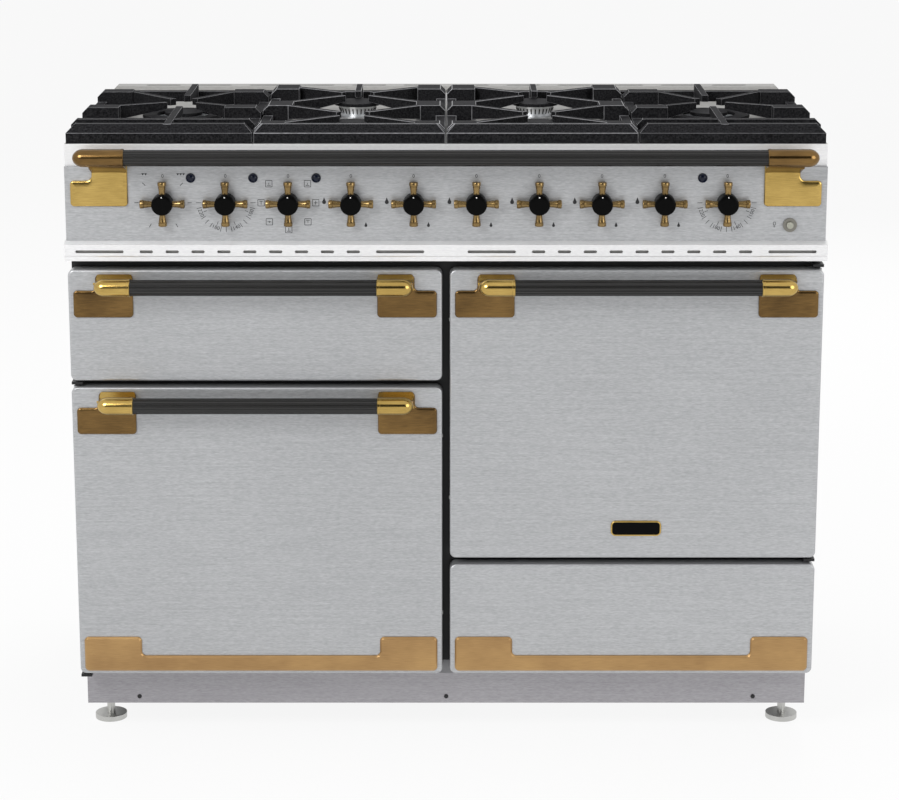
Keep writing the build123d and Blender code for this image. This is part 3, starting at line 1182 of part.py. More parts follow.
def wok_grate(xs, burner):
    grate_frame(xs)
    cross_y = GRATE_Y[0] + GRATE_BAR + WOK_CROSS_BACK
    cross_bar(xs, (cross_y, cross_y + WOK_CROSS_W))
    for edge_x, inward in ((xs[0], 1), (xs[1], -1)):
        for back in WOK_LUG_BACKS:
            lug_back = burner[1] + back
            grate_lug(edge_x, inward, (lug_back - WOK_LUG_L, lug_back), WOK_LUG_IN)
            root = (edge_x + inward * (WOK_LUG_IN - FINGER_T), lug_back - FINGER_T)
            finger(root, towards(root, burner, FINGER_TIP_R))
    for bar_y in (GRATE_Y[0] + GRATE_BAR / 2, GRATE_Y[1] - GRATE_RAIL_W / 2):
        root = (burner[0], bar_y)
        finger(root, towards(root, burner, WOK_FINGER_TIP_R))


def pair_grate(xs, burner_x):
    grate_frame(xs)
    low, high = GRATE_Y[0] + GRATE_BAR, GRATE_Y[1] - GRATE_RAIL_W
    halfway = (PAIR_FRONT_Y + PAIR_BACK_Y) / 2
    rear_span = (high - PAIR_LUG_L, high)
    middle_span = grown((halfway, halfway), PAIR_LUG_L / 2)
    front_span = (low - LUG_CHAMFER, low - LUG_CHAMFER + PAIR_FRONT_LUG_L)
    for edge_x, inward in ((xs[0], 1), (xs[1], -1)):
        inner_x = edge_x + inward * (PAIR_LUG_IN - FINGER_T)
        for span in (rear_span, middle_span, front_span):
            grate_lug(edge_x, inward, span, PAIR_LUG_IN)
        for root_y, burner_y in (
            (rear_span[1] - 2 * FINGER_T, PAIR_BACK_Y),
            (middle_span[1] - FINGER_T, PAIR_BACK_Y),
            (middle_span[0] + FINGER_T, PAIR_FRONT_Y),
            (front_span[0] + FINGER_T, PAIR_FRONT_Y),
        ):
            root = (inner_x, root_y)
            finger(root, towards(root, (burner_x, burner_y), FINGER_TIP_R))
    rear_root = (burner_x, GRATE_Y[1] - GRATE_RAIL_W / 2)
    finger(rear_root, towards(rear_root, (burner_x, PAIR_BACK_Y), FINGER_TIP_R))


with BuildPart() as left_wok_support:
    wok_grate((-GRATE_OUT, -GRATE_SPLIT), (-WOK_X, WOK_Y))
save(left_wok_support, "left_wok_support")

with BuildPart() as right_wok_support:
    wok_grate((GRATE_SPLIT, GRATE_OUT), (WOK_X, WOK_Y))
save(right_wok_support, "right_wok_support")

with BuildPart() as left_pan_support:
    pair_grate((-GRATE_SPLIT + GRATE_GAP, -GRATE_GAP / 2), -PAIR_X)
save(left_pan_support, "left_pan_support")

with BuildPart() as right_pan_support:
    pair_grate((GRATE_GAP / 2, GRATE_SPLIT - GRATE_GAP), PAIR_X)
save(right_pan_support, "right_pan_support")

# Connections on the back: a terminal box with a cable gland, and the gas inlet
with BuildPart() as rear_connections:
    box_y = (BACK_PANEL_Y, BACK_Y)
    box_mid = BODY_X - BOX_IN
    box_x = grown((box_mid, box_mid), BOX_W / 2)
    box_z = grown((BOX_Z, BOX_Z), BOX_H / 2)
    block(box_x, box_y, box_z)
    hollow_y = (box_y[0], box_y[1] - BOX_WALL)
    block(grown(box_x, -BOX_WALL), hollow_y, grown(box_z, -BOX_WALL), mode=Mode.SUBTRACT)
    gland_at = (box_mid, middle(box_y), box_z[0])
    rod(gland_at, DOWN, GLAND_R, GLAND_L)
    bore_from = (box_mid, middle(box_y), box_z[0] + BOX_WALL)
    rod(bore_from, DOWN, GLAND_BORE_R, GLAND_L + BOX_WALL, mode=Mode.SUBTRACT)
    inlet_at = (BODY_X - INLET_IN, BACK_PANEL_Y, INLET_Z)
    rod(inlet_at, BACKWARD, INLET_FLANGE_R, INLET_FLANGE_T)
    rod(inlet_at, BACKWARD, INLET_R, BACK_INSET)
save(rear_connections, "rear_connections")
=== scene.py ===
"""Looks of a free-standing dual fuel range cooker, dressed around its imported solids, in metres."""
import json
import math

import bmesh
import bpy
from mathutils import Matrix, Vector


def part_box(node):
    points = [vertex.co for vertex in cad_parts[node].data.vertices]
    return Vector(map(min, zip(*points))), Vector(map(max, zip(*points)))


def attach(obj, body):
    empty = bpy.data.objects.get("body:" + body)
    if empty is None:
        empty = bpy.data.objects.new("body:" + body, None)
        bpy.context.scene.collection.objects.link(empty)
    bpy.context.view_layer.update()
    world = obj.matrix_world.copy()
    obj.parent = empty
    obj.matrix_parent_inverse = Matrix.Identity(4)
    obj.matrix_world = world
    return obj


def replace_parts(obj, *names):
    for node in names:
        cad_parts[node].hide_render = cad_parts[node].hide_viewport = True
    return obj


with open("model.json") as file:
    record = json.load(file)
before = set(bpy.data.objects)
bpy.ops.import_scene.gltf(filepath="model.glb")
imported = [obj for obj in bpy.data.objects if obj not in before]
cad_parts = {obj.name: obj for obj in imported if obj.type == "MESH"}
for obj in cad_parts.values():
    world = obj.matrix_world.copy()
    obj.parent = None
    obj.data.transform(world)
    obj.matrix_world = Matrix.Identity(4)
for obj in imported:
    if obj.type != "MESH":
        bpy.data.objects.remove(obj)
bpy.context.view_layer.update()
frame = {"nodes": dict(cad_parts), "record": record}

# Base frame: bent steel rails around the foot of the cooker, which carry everything above them.
# They are welded at the corners and powder coated grey, and their front lip shows under the doors.
MM = 0.001
MERGE = 0.01 * MM
BASE_EDGE = 0.8 * MM
GREY_COAT = (0.28, 0.28, 0.29)


class Wire:
    """A socket in a node tree that can be used in sums."""

    def __init__(self, nodes, socket):
        self.nodes = nodes
        self.socket = socket

    def worked(self, operation, first, second):
        return self.nodes.node("ShaderNodeMath", {"operation": operation}, {0: first, 1: second})

    def __add__(self, other):
        return self.worked("ADD", self, other)

    def __sub__(self, other):
        return self.worked("SUBTRACT", self, other)

    def __rsub__(self, other):
        return self.worked("SUBTRACT", other, self)

    def __mul__(self, other):
        return self.worked("MULTIPLY", self, other)

    def __gt__(self, other):
        return self.worked("GREATER_THAN", self, other)

    __radd__ = __add__
    __rmul__ = __mul__


class Nodes:
    """A node tree, and the one way in which nodes are added to it."""

    def __init__(self, tree):
        self.tree = tree

    def put(self, value, socket):
        if isinstance(value, Wire):
            self.tree.links.new(value.socket, socket)
        elif socket.type == "RGBA":
            socket.default_value = (*value, 1.0)
        else:
            socket.default_value = value

    def node(self, kind, settings, sockets, output=0):
        added = self.tree.nodes.new(kind)
        for name, value in settings.items():
            setattr(added, name, value)
        for name, value in sockets.items():
            self.put(value, added.inputs[name])
        if added.outputs:
            return Wire(self, added.outputs[output])


class Finish(Nodes):
    """A surface finish: its material, and the nodes that feed its shader."""

    def __init__(self, name, sockets):
        self.material = bpy.data.materials.new(name)
        self.material.use_nodes = True
        super().__init__(self.material.node_tree)
        self.shader = self.tree.nodes["Principled BSDF"]
        self.feed(sockets)

    def feed(self, sockets):
        for name, value in sockets.items():
            self.put(value, self.shader.inputs[name])

    def spot(self, per_metre):
        """Object coordinates, counted in pattern steps along each axis."""
        coords = self.node("ShaderNodeTexCoord", {}, {}, "Object")
        return self.node("ShaderNodeMapping", {}, {"Vector": coords, "Scale": per_metre})

    def noise(self, per_metre, detail=2.0):
        sockets = {"Vector": self.spot(per_metre), "Scale": 1.0, "Detail": detail}
        return self.node("ShaderNodeTexNoise", {}, sockets)

    def mix(self, share, first, second):
        return self.node("ShaderNodeMix", {"data_type": "RGBA"}, {0: share, 6: first, 7: second}, 2)

    def ramp(self, value, low, high):
        """A value spread so that low gives 0 and high gives 1."""
        return self.node("ShaderNodeMapRange", {}, {"Value": value, "From Min": low, "From Max": high})

    def dents(self, height, strength, depth):
        sockets = {"Height": height, "Strength": strength, "Distance": depth}
        self.feed({"Normal": self.node("ShaderNodeBump", {}, sockets)})


body_of = {}
for body, members in frame["record"]["behaviour"]["bodies"].items():
    for member in members:
        body_of[member] = body


def made(name, form, finish, body, smooth=35):
    """Turns a form into a piece with a finish, which rides on a body."""
    mesh = bpy.data.meshes.new(name)
    form.to_mesh(mesh)
    form.free()
    mesh.materials.append(finish.material)
    mesh.shade_smooth()
    mesh.set_sharp_from_angle(angle=math.radians(smooth))
    piece = bpy.data.objects.new(name, mesh)
    bpy.context.scene.collection.objects.link(piece)
    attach(piece, body)
    return piece


def dressed(node, finish, edge=0.0, smooth=35, edge_finish=None):
    """A node's own shape with its edges rounded, in place of the node."""
    form = bmesh.new()
    form.from_mesh(frame["nodes"][node].data)
    bmesh.ops.remove_doubles(form, verts=form.verts, dist=MERGE)
    flat = math.radians(0.5)
    bmesh.ops.dissolve_limit(form, angle_limit=flat, verts=form.verts, edges=form.edges)
    if edge:
        turned_over = math.radians(30)
        corners = [e for e in form.edges if e.is_manifold and e.calc_face_angle() > turned_over]
        rims = bmesh.ops.bevel(
            form, geom=corners, offset=edge, segments=2, profile=0.6, affect="EDGES", clamp_overlap=True
        )
        for face in rims["faces"] if edge_finish else ():
            face.material_index = 1
    piece = made(f"{node}_finished", form, finish, body_of[node], smooth)
    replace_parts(piece, node)
    if edge_finish:
        piece.data.materials.append(edge_finish.material)
    if edge:
        level = piece.modifiers.new("even_shading", "WEIGHTED_NORMAL")
        level.keep_sharp = True
    return piece


def powder_coat(name, colour, roughness):
    """A sprayed and baked coat with its fine orange peel."""
    coat = Finish(name, {"Base Color": colour, "Specular IOR Level": 0.25})
    peel = coat.noise((700, 700, 700), 2.0)
    cloud = coat.noise((9, 9, 9), 3.0)
    lighter = tuple(1.25 * c for c in colour)
    coat.feed({"Base Color": coat.mix(cloud, colour, lighter), "Roughness": roughness + 0.12 * peel})
    coat.dents(peel, 0.12, 0.2 * MM)
    return coat


grey_coat = powder_coat("grey_powder_coat", GREY_COAT, 0.42)
dressed("base_frame", grey_coat, BASE_EDGE)

# Rollers and feet: two nylon rollers at the back let the cooker roll in, two screw feet in front level it.
# The rollers turn on one steel axle each; the feet are zinc-plated threaded studs with round pads.
NYLON = (0.03, 0.03, 0.032)
ZINC = (0.62, 0.62, 0.6)


def moulded(name, colour, roughness):
    """Moulded plastic with a fine spark-eroded grain."""
    plastic = Finish(name, {"Base Color": colour})
    grain = plastic.noise((1400, 1400, 1400), 1.0)
    plastic.feed({"Roughness": roughness + 0.1 * grain})
    plastic.dents(grain, 0.15, 0.1 * MM)
    return plastic


def plated(name, colour, roughness):
    """Plated steel whose tone drifts a little over the surface."""
    metal = Finish(name, {"Metallic": 1.0})
    drift = metal.noise((40, 40, 40), 4.0)
    darker = tuple(0.72 * c for c in colour)
    metal.feed({"Base Color": metal.mix(drift, darker, colour), "Roughness": roughness + 0.16 * drift})
    return metal


zinc = plated("zinc_plate", ZINC, 0.3)
dressed("rear_rollers", moulded("roller_nylon", NYLON, 0.5), 1.0 * MM)
dressed("levelling_feet", zinc, 0.5 * MM)

# Outer panels: the two sides and the back, folded from steel sheet and coated satin black.
# They are screwed to the base frame and to each other, and the back panel's screws run along its edges.
BLACK_COAT = (0.018, 0.018, 0.019)
SCREW_BLACK = (0.05, 0.05, 0.052)
BACK_SCREW_R = 4.2 * MM
BACK_SCREW_H = 1.4 * MM
BACK_SCREW_IN = 14 * MM
BACK_SCREW_COLUMN = 7
BACK_SCREW_ROW = 8


def add(form, other):
    """Puts one form's faces into another."""
    scrap = bpy.data.meshes.new("scrap")
    other.to_mesh(scrap)
    form.from_mesh(scrap)
    other.free()
    bpy.data.meshes.remove(scrap)


def turned(profile, foot, along, steps=28):
    """A closed turned form: the profile lists (distance along the axis, radius) from pole to pole."""
    form = bmesh.new()
    to_axis = Vector(along).to_track_quat("Z", "Y")
    rings = []
    for reach, radius in profile:
        ring = []
        for step in range(steps if radius else 1):
            turn = 2 * math.pi * step / steps
            flat_point = Vector((radius * math.cos(turn), radius * math.sin(turn), reach))
            ring.append(form.verts.new(Vector(foot) + to_axis @ flat_point))
        rings.append(ring)
    for ring, following in zip(rings, rings[1:]):
        for step in range(steps):
            corners = [
                ring[step % len(ring)],
                ring[(step + 1) % len(ring)] if len(ring) > 1 else ring[0],
                following[(step + 1) % len(following)] if len(following) > 1 else following[0],
                following[step % len(following)],
            ]
            form.faces.new(list(dict.fromkeys(corners)))
    bmesh.ops.recalc_face_normals(form, faces=form.faces)
    return form


def copies_tree():
    """A node tree that repeats one shape along a step, about an axis, or both."""
    tree = bpy.data.node_groups.new("copies_of_a_shape", "GeometryNodeTree")
    tree.interface.new_socket("Geometry", in_out="OUTPUT", socket_type="NodeSocketGeometry")
    kinds = {
        "Shape": "Geometry",
        "Copies": "Int",
        "Start": "Vector",
        "Step": "Vector",
        "Axis": "Vector",
        "Turn Step": "Float",
        "Finish": "Material",
    }
    for name, kind in kinds.items():
        tree.interface.new_socket(name, in_out="INPUT", socket_type=f"NodeSocket{kind}")
    node = Nodes(tree).node
    given = {name: node("NodeGroupInput", {}, {}, name) for name in kinds}
    index = node("GeometryNodeInputIndex", {}, {})
    reach = node("ShaderNodeVectorMath", {"operation": "SCALE"}, {"Vector": given["Step"], "Scale": index})
    place = node("ShaderNodeVectorMath", {"operation": "ADD"}, {0: given["Start"], 1: reach})
    angle = index * given["Turn Step"]
    turn = node("FunctionNodeAxisAngleToRotation", {}, {"Axis": given["Axis"], "Angle": angle})
    points = node("GeometryNodePoints", {}, {"Count": given["Copies"], "Position": place})
    spots = {"Points": points, "Instance": given["Shape"], "Rotation": turn}
    spread = node("GeometryNodeInstanceOnPoints", {}, spots)
    solid = node("GeometryNodeRealizeInstances", {}, {"Geometry": spread})
    coated = node("GeometryNodeSetMaterial", {}, {"Geometry": solid, "Material": given["Finish"]})
    node("NodeGroupOutput", {}, {"Geometry": coated})
    return tree


copies = copies_tree()


def repeated(form, finish, sizes):
    """A form repeated by the tree of copies, as one new form."""
    shape = bpy.data.meshes.new("one_copy")
    form.to_mesh(shape)
    form.free()
    source = bpy.data.objects.new("one_copy", shape)
    bpy.context.scene.collection.objects.link(source)
    modifier = source.modifiers.new("copies", "NODES")
    modifier.node_group = copies
    values = {"Step": (0.0, 0.0, 0.0), "Axis": (0.0, 0.0, 1.0), "Turn Step": 0.0}
    values.update(sizes)
    values["Finish"] = finish.material
    for socket in copies.interface.items_tree:
        if socket.name in values:
            modifier[socket.identifier] = values[socket.name]
    evaluated = source.evaluated_get(bpy.context.evaluated_depsgraph_get())
    result = bpy.data.meshes.new_from_object(evaluated)
    source.modifiers.remove(modifier)
    bpy.data.objects.remove(source)
    everything = bmesh.new()
    everything.from_mesh(result)
    bpy.data.meshes.remove(result)
    return everything


def screw_form(radius, height, along):
    """A pan-head screw's head around the origin."""
    shares = ((0, 0), (0, 1), (0.45, 1), (0.85, 0.8), (1, 0.5), (1, 0))
    return turned([(up * height, out * radius) for up, out in shares], (0, 0, 0), along, 14)


black_coat = powder_coat("black_satin_coat", BLACK_COAT, 0.36)
dark_steel = plated("blackened_screw_steel", SCREW_BLACK, 0.35)
dressed("outer_panels", black_coat, 0.5 * MM)
low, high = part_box("outer_panels")
left_x, right_x = low.x + BACK_SCREW_IN, high.x - BACK_SCREW_IN
lower_z, upper_z = low.z + BACK_SCREW_IN, high.z - BACK_SCREW_IN
rise = (upper_z - lower_z) / (BACK_SCREW_COLUMN - 1)
along = (right_x - left_x) / (BACK_SCREW_ROW + 1)
lines = [(BACK_SCREW_COLUMN, (0, 0, rise), (x, high.y, lower_z)) for x in (left_x, right_x)]
lines += [(BACK_SCREW_ROW, (along, 0, 0), (left_x + along, high.y, z)) for z in (lower_z, upper_z)]
back_screws = bmesh.new()
for count, step, start in lines:
    sizes = {"Copies": count, "Step": step, "Start": start}
    add(back_screws, repeated(screw_form(BACK_SCREW_R, BACK_SCREW_H, (0, 1, 0)), dark_steel, sizes))
made("back_panel_screws", back_screws, dark_steel, "cooker")

# Front frame: the pressed steel face behind the doors, with an opening for each oven and drawer.
# It is coated black like the sides and shows as the dark line between the doors.
dressed("front_frame", black_coat, 0.6 * MM)

# Ovens: liners of enamelled steel with a rubber seal round each mouth, wire shelves on side racks.
# A fan turns behind a slotted cover at the back of each, with a ring element around it.
ENAMEL = (0.022, 0.023, 0.026)
SPECK = (0.32, 0.33, 0.35)
RUBBER = (0.035, 0.035, 0.036)
CHROME = (0.74, 0.74, 0.76)
HOT_STEEL = (0.24, 0.21, 0.19)
GALVANISED = (0.56, 0.57, 0.58)
MOTOR_GREY = (0.2, 0.2, 0.21)

enamel = Finish("speckled_enamel", {"Specular IOR Level": 0.6, "Coat Roughness": 0.06})
specks = enamel.noise((1100, 1100, 1100), 1.0) > 0.7
ripple = enamel.noise((60, 60, 60), 2.0)
enamel.feed({
    "Base Color": enamel.mix(specks, ENAMEL, SPECK),
    "Roughness": 0.12 + 0.12 * ripple,
    "Coat Weight": 0.35,
})
enamel.dents(ripple, 0.08, 0.6 * MM)

rubber = moulded("woven_cored_rubber", RUBBER, 0.66)
chrome = plated("chromed_wire", CHROME, 0.06)
hot_steel = plated("heat_darkened_steel", HOT_STEEL, 0.34)

galvanised = Finish("galvanised_sheet", {"Metallic": 1.0})
spangle = galvanised.node(
    "ShaderNodeTexVoronoi", {}, {"Vector": galvanised.spot((90, 90, 90)), "Scale": 1.0}, "Color"
)
tone = galvanised.node("ShaderNodeSeparateColor", {}, {"Color": spangle})
dull = tuple(0.7 * c for c in GALVANISED)
galvanised.feed({"Base Color": galvanised.mix(tone, dull, GALVANISED), "Roughness": 0.3 + 0.2 * tone})

motor_coat = powder_coat("motor_grey", MOTOR_GREY, 0.4)
dressed("oven_liners", enamel)
dressed("oven_seals", rubber, 1.5 * MM)
dressed("oven_racks", chrome, 1.2 * MM)
dressed("left_fan", galvanised, 0.3 * MM)
dressed("right_fan", galvanised, 0.3 * MM)
dressed("fan_motors", motor_coat, 1.0 * MM)
dressed("fan_covers", enamel, 0.4 * MM)
dressed("heating_elements", hot_steel)

# Hob: a pressed stainless tray with a skirt, and a slotted vent strip along its back.
# Both are one satin stainless drawn as two copies: near-white with a painted highlight on the skirt, darker
# with painted shade on the upward faces and the vent strip; the brushing runs across the cooker.
# The near-white copy of the steel is a painted highlight, the darker copy is painted shade.
PAINTED_LIT_STEEL = (0.93, 0.93, 0.93)
PAINTED_LIT_STEEL_DARK = (0.8, 0.8, 0.81)
PAINTED_SHADE_STEEL_LIGHT = (0.44, 0.435, 0.42)
PAINTED_SHADE_STEEL_DARK = (0.3, 0.295, 0.285)


def brushed(name, dark, light, roughness, streak, metal):
    """Stainless sheet brushed from side to side."""
    steel = Finish(name, {"Metallic": metal})
    fine = steel.noise((150, 1100, 1100), 3.0)
    long_streak = steel.noise((7, 420, 420), 3.0)
    cloud = steel.noise((2.6, 2.6, 2.6), 2.0)
    shade = steel.ramp(0.62 * fine + 0.24 * long_streak + 0.14 * cloud, 0.34, 0.66)
    steel.feed({"Base Color": steel.mix(shade, dark, light), "Roughness": roughness + 0.14 * fine})
    steel.dents(fine, streak, 0.04 * MM)
    return steel


highlit_steel_copy = brushed("stainless_painted_highlight", PAINTED_LIT_STEEL_DARK, PAINTED_LIT_STEEL, 0.24, 0.12, 0.35)
shaded_steel_copy = brushed("stainless_painted_shade", PAINTED_SHADE_STEEL_DARK, PAINTED_SHADE_STEEL_LIGHT, 0.34, 0.12, 0.8)
hob = dressed("hob_top", highlit_steel_copy, 0.9 * MM)
hob.data.materials.append(shaded_steel_copy.material)
# Faces that look upward take the darker copy: painted shade on the top, painted highlight left on the skirt.
for face in hob.data.polygons:
    face.material_index = int(face.normal.z > 0.5)
dressed("rear_vent", shaded_steel_copy, 0.6 * MM)

# Burners: cast aluminium heads with flame ports around them, and loose black enamelled caps.
# Two large outer burners have a ring and a middle head; the four inner ones have a single crown.
ALUMINIUM = (0.72, 0.73, 0.74)
ALUMINIUM_DARK = (0.52, 0.53, 0.54)
IRON = (0.03, 0.03, 0.032)
IRON_DARK = (0.007, 0.007, 0.008)
WORN_AND_GLINT_IRON = (0.42, 0.42, 0.44)
WORN_AND_GLINT_IRON_DARK = (0.1, 0.1, 0.105)
PORT_SHADE_SOOT = (0.012, 0.011, 0.01)
PORT_W = 1.7 * MM
CROWN_PORTS = 28
CROWN_RADII = (26.3 * MM, 29.3 * MM)
CROWN_PORT_ZS = (10 * MM, 18 * MM)
WOK_RINGS = ((62 * MM, 44), (26 * MM, 20))
WOK_PORT_ZS = (7.5 * MM, 13.5 * MM)
WELL_DEEP = 12 * MM


def solids_of(node):
    """The boxes of a node's separate solids, from left to right."""
    form = bmesh.new()
    form.from_mesh(frame["nodes"][node].data)
    bmesh.ops.remove_doubles(form, verts=form.verts, dist=MERGE)
    form.verts.ensure_lookup_table()
    boxes = []
    left = set(range(len(form.verts)))
    while left:
        reached = [min(left)]
        left.remove(reached[0])
        for at in reached:
            for link in form.verts[at].link_edges:
                other = link.other_vert(form.verts[at]).index
                if other in left:
                    left.remove(other)
                    reached.append(other)
        spots = [form.verts[at].co for at in reached]
        boxes.append([Vector(pick(spot[k] for spot in spots) for k in range(3)) for pick in (min, max)])
    form.free()
    return sorted(boxes, key=lambda box: tuple(box[0]))


well_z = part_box("hob_top")[1].z - WELL_DEEP
cap_middles = [(low + high) / 2 for low, high in solids_of("burner_caps")]
burner_spots = sorted({(round(spot.x, 4), round(spot.y, 4), well_z) for spot in cap_middles})
wok_spots = [burner_spots[0], burner_spots[-1]]
crown_spots = burner_spots[1:-1]

aluminium = Finish("cast_aluminium", {"Metallic": 1.0})
sand = aluminium.noise((800, 800, 800), 3.0)
aluminium.feed({"Base Color": aluminium.mix(sand, ALUMINIUM_DARK, ALUMINIUM), "Roughness": 0.26 + 0.2 * sand})
aluminium.dents(sand, 0.25, 0.15 * MM)

cast_iron = Finish("enamelled_cast_iron", {"Specular IOR Level": 0.03})
pits = cast_iron.noise((420, 420, 420), 4.0)
swell = cast_iron.noise((35, 35, 35), 2.0)
iron_shade = cast_iron.ramp(pits, 0.35, 0.7)
cast_iron.feed({"Base Color": cast_iron.mix(iron_shade, IRON_DARK, IRON), "Roughness": 0.52 + 0.2 * pits})
cast_iron.dents(pits + 0.6 * swell, 0.3, 0.25 * MM)
# Lighter metal on the castings' rounded edges: wear, and a painted highlight on every edge.
worn_iron_and_glint = Finish("worn_edge_and_painted_glint", {"Metallic": 0.7})
rub = worn_iron_and_glint.noise((160, 160, 160), 3.0)
worn_iron_and_glint.feed({"Base Color": worn_iron_and_glint.mix(rub, WORN_AND_GLINT_IRON_DARK, WORN_AND_GLINT_IRON), "Roughness": 0.3 + 0.2 * rub})
# Near-black for the flame ports: painted shade inside their openings, and soot.
port_shade_and_soot = powder_coat("port_painted_shade_and_soot", PORT_SHADE_SOOT, 0.7)

dressed("burner_heads", aluminium, 0.5 * MM)
dressed("burner_caps", cast_iron, 1.2 * MM)


def port_ring(place, radii, zs, count):
    """Narrow flame ports around a head, each a near-black slot standing a hair proud of it: painted shade of
    the opening, and soot.
    """
    proud = 0.15 * MM
    deep = 1.5 * MM
    port = bmesh.new()
    corners = []
    for reach in (-deep, proud):
        for radius, z in zip(radii, zs):
            for side in (-0.5, 0.5):
                corners.append(port.verts.new((radius + reach, side * PORT_W, z)))
    bmesh.ops.convex_hull(port, input=corners)
    bmesh.ops.recalc_face_normals(port, faces=port.faces)
    return repeated(port, port_shade_and_soot, {"Copies": count, "Start": place, "Turn Step": 2 * math.pi / count})


ports = bmesh.new()
for place in crown_spots:
    add(ports, port_ring(place, CROWN_RADII, CROWN_PORT_ZS, CROWN_PORTS))
for place in wok_spots:
    for radius, count in WOK_RINGS:
        add(ports, port_ring(place, (radius, radius), WOK_PORT_ZS, count))
made("flame_ports", ports, port_shade_and_soot, "cooker")

# Pan supports: four heavy castings that stand in the hob's well and lift off for cleaning.
# They are cast iron under a satin black enamel; every rounded edge takes a lighter metal finish, for enamel
# worn thin and for a painted highlight along the edges.
GRATE_EDGE = 1.3 * MM
for support in ("left_wok_support", "left_pan_support", "right_pan_support", "right_wok_support"):
    dressed(support, cast_iron, GRATE_EDGE, 35, worn_iron_and_glint)

# Control panel: a folded stainless front, brushed across, that carries the knobs, lamps and light button.
# The marks around the knobs are printed in black ink.
STEEL_DARK = (0.37, 0.377, 0.388)
STEEL_LIGHT = (0.55, 0.558, 0.57)
INK = (0.012, 0.012, 0.014)
INK_T = 0.12 * MM
ARC_STEPS = 6
TICK_R = (35 * MM, 42.5 * MM)
INNER_TICK_R = (29.5 * MM, 34.5 * MM)
TICK_W = 0.75 * MM
TICKS = 17
TICK_STEP = math.pi / (TICKS - 1)
NUMBER_H = 5.6 * MM
NUMBER_R = 38.7 * MM
NUMBER_CLEAR = 4.6 * MM
NUMBERED_TICKS = {2: "100", 6: "140", 10: "180", 14: "220"}
ZERO_H = 5.4 * MM
ZERO_UP = 38.5 * MM
FLAME_SPOTS = ((Vector((-38.5, 3)) * MM, 10 * MM), (Vector((21, -31.5)) * MM, 7.4 * MM))
ICON = 4.6 * MM
ICON_R = 39 * MM
LINE = 0.8 * MM
GRILL_STROKES = (135, 45, 0, -60, -120, 180)
GRILL_STROKE_R = (35 * MM, 41 * MM)
GRILL_STROKE_W = 0.9 * MM
ARROW = ((-2, 1.6), (0, -1.6), (2, 1.6))
ARROW_STEP = 4.2 * MM
ARROW_ROWS = ((Vector((-26, 41)) * MM, 2), (Vector((26, 41)) * MM, 3))

steel = brushed("brushed_stainless", STEEL_DARK, STEEL_LIGHT, 0.32, 0.2, 0.6)
dressed("control_panel", steel, 0.8 * MM)
PANEL_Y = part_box("control_panel")[0].y
knob_boxes = [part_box(f"knob_{number}") for number in range(1, 11)]
knob_spots = [((low + high) / 2).xz for low, high in knob_boxes]

ink = Finish("black_print_ink", {"Base Color": INK})
worn = ink.noise((900, 900, 900), 2.0)
ink.feed({"Roughness": 0.45 + 0.2 * worn})


def rounded(corners):
    """The points of an outline whose corners (across, up, radius) are rounded by arcs."""
    points = []
    for n, (across, up, radius) in enumerate(corners):
        here = Vector((across, up))
        back = (Vector(corners[n - 1][:2]) - here).normalized()
        ahead = (Vector(corners[(n + 1) % len(corners)][:2]) - here).normalized()
        half = back.angle(ahead) / 2
        centre = here + (back + ahead).normalized() * radius / math.sin(half)
        start = here + back * radius / math.tan(half) - centre
        end = here + ahead * radius / math.tan(half) - centre
        first = math.atan2(start.y, start.x)
        sweep = math.remainder(math.atan2(end.y, end.x) - first, 2 * math.pi)
        for step in range(ARC_STEPS + 1):
            turn = first + sweep * step / ARC_STEPS
            points.append(centre + radius * Vector((math.cos(turn), math.sin(turn))))
    return points


def plate(outline, back_y, front_y, edge=0.0):
    """A flat plate facing forward, from an outline in X and Z, with its front edge rounded."""
    form = bmesh.new()
    base = form.faces.new([form.verts.new((p[0], back_y, p[1])) for p in outline])
    lifted = bmesh.ops.extrude_face_region(form, geom=[base])["geom"]
    front = [item for item in lifted if isinstance(item, bmesh.types.BMVert)]
    bmesh.ops.translate(form, verts=front, vec=(0, front_y - back_y, 0))
    if edge:
        rim = [e for e in form.edges if all(v in front for v in e.verts)]
        bmesh.ops.bevel(form, geom=rim, offset=edge, segments=3, profile=0.5, affect="EDGES")
    bmesh.ops.recalc_face_normals(form, faces=form.faces)
    return form


def printed(outline):
    return plate(outline, PANEL_Y, PANEL_Y - INK_T)


def bar_outline(at, turn, reaches, width):
    """A short stroke pointing outwards from a knob's middle."""
    out = Vector((math.cos(turn), math.sin(turn)))
    side = Vector((-out.y, out.x)) * width / 2
    near, far = (at + out * reach for reach in reaches)
    return [near - side, far - side, far + side, near + side]


def figure(text, height, at, turn=0.0):
    """A plain printed figure, centred on a point of the panel."""
    curve = bpy.data.curves.new("figure", "FONT")
    curve.body = text
    curve.size = height / 0.72
    curve.align_x = "CENTER"
    curve.align_y = "CENTER"
    curve.extrude = INK_T / 2
    curve.resolution_u = 3
    letters = bpy.data.objects.new("figure", curve)
    bpy.context.scene.collection.objects.link(letters)
    evaluated = letters.evaluated_get(bpy.context.evaluated_depsgraph_get())
    mesh = bpy.data.meshes.new_from_object(evaluated)
    bpy.data.objects.remove(letters)
    form = bmesh.new()
    form.from_mesh(mesh)
    bpy.data.meshes.remove(mesh)
    for vert in form.verts:
        flat = Vector((vert.co.x, vert.co.y))
        flat.rotate(Matrix.Rotation(turn, 2))
        vert.co = Vector((at.x + flat.x, PANEL_Y - INK_T / 2 - vert.co.z, at.y + flat.y))
    return form


def flame_outline(at, tall):
    """A plain pointed flame."""
    wide = 0.3 * tall
    right = [(0.0, 0.5), (0.45, 0.16), (0.95, -0.16), (0.78, -0.4), (0.0, -0.5)]
    points = [Vector((x * wide, z * tall)) for x, z in right]
    points += [Vector((-x * wide, z * tall)) for x, z in reversed(right[1:-1])]
    return [at + p for p in points]


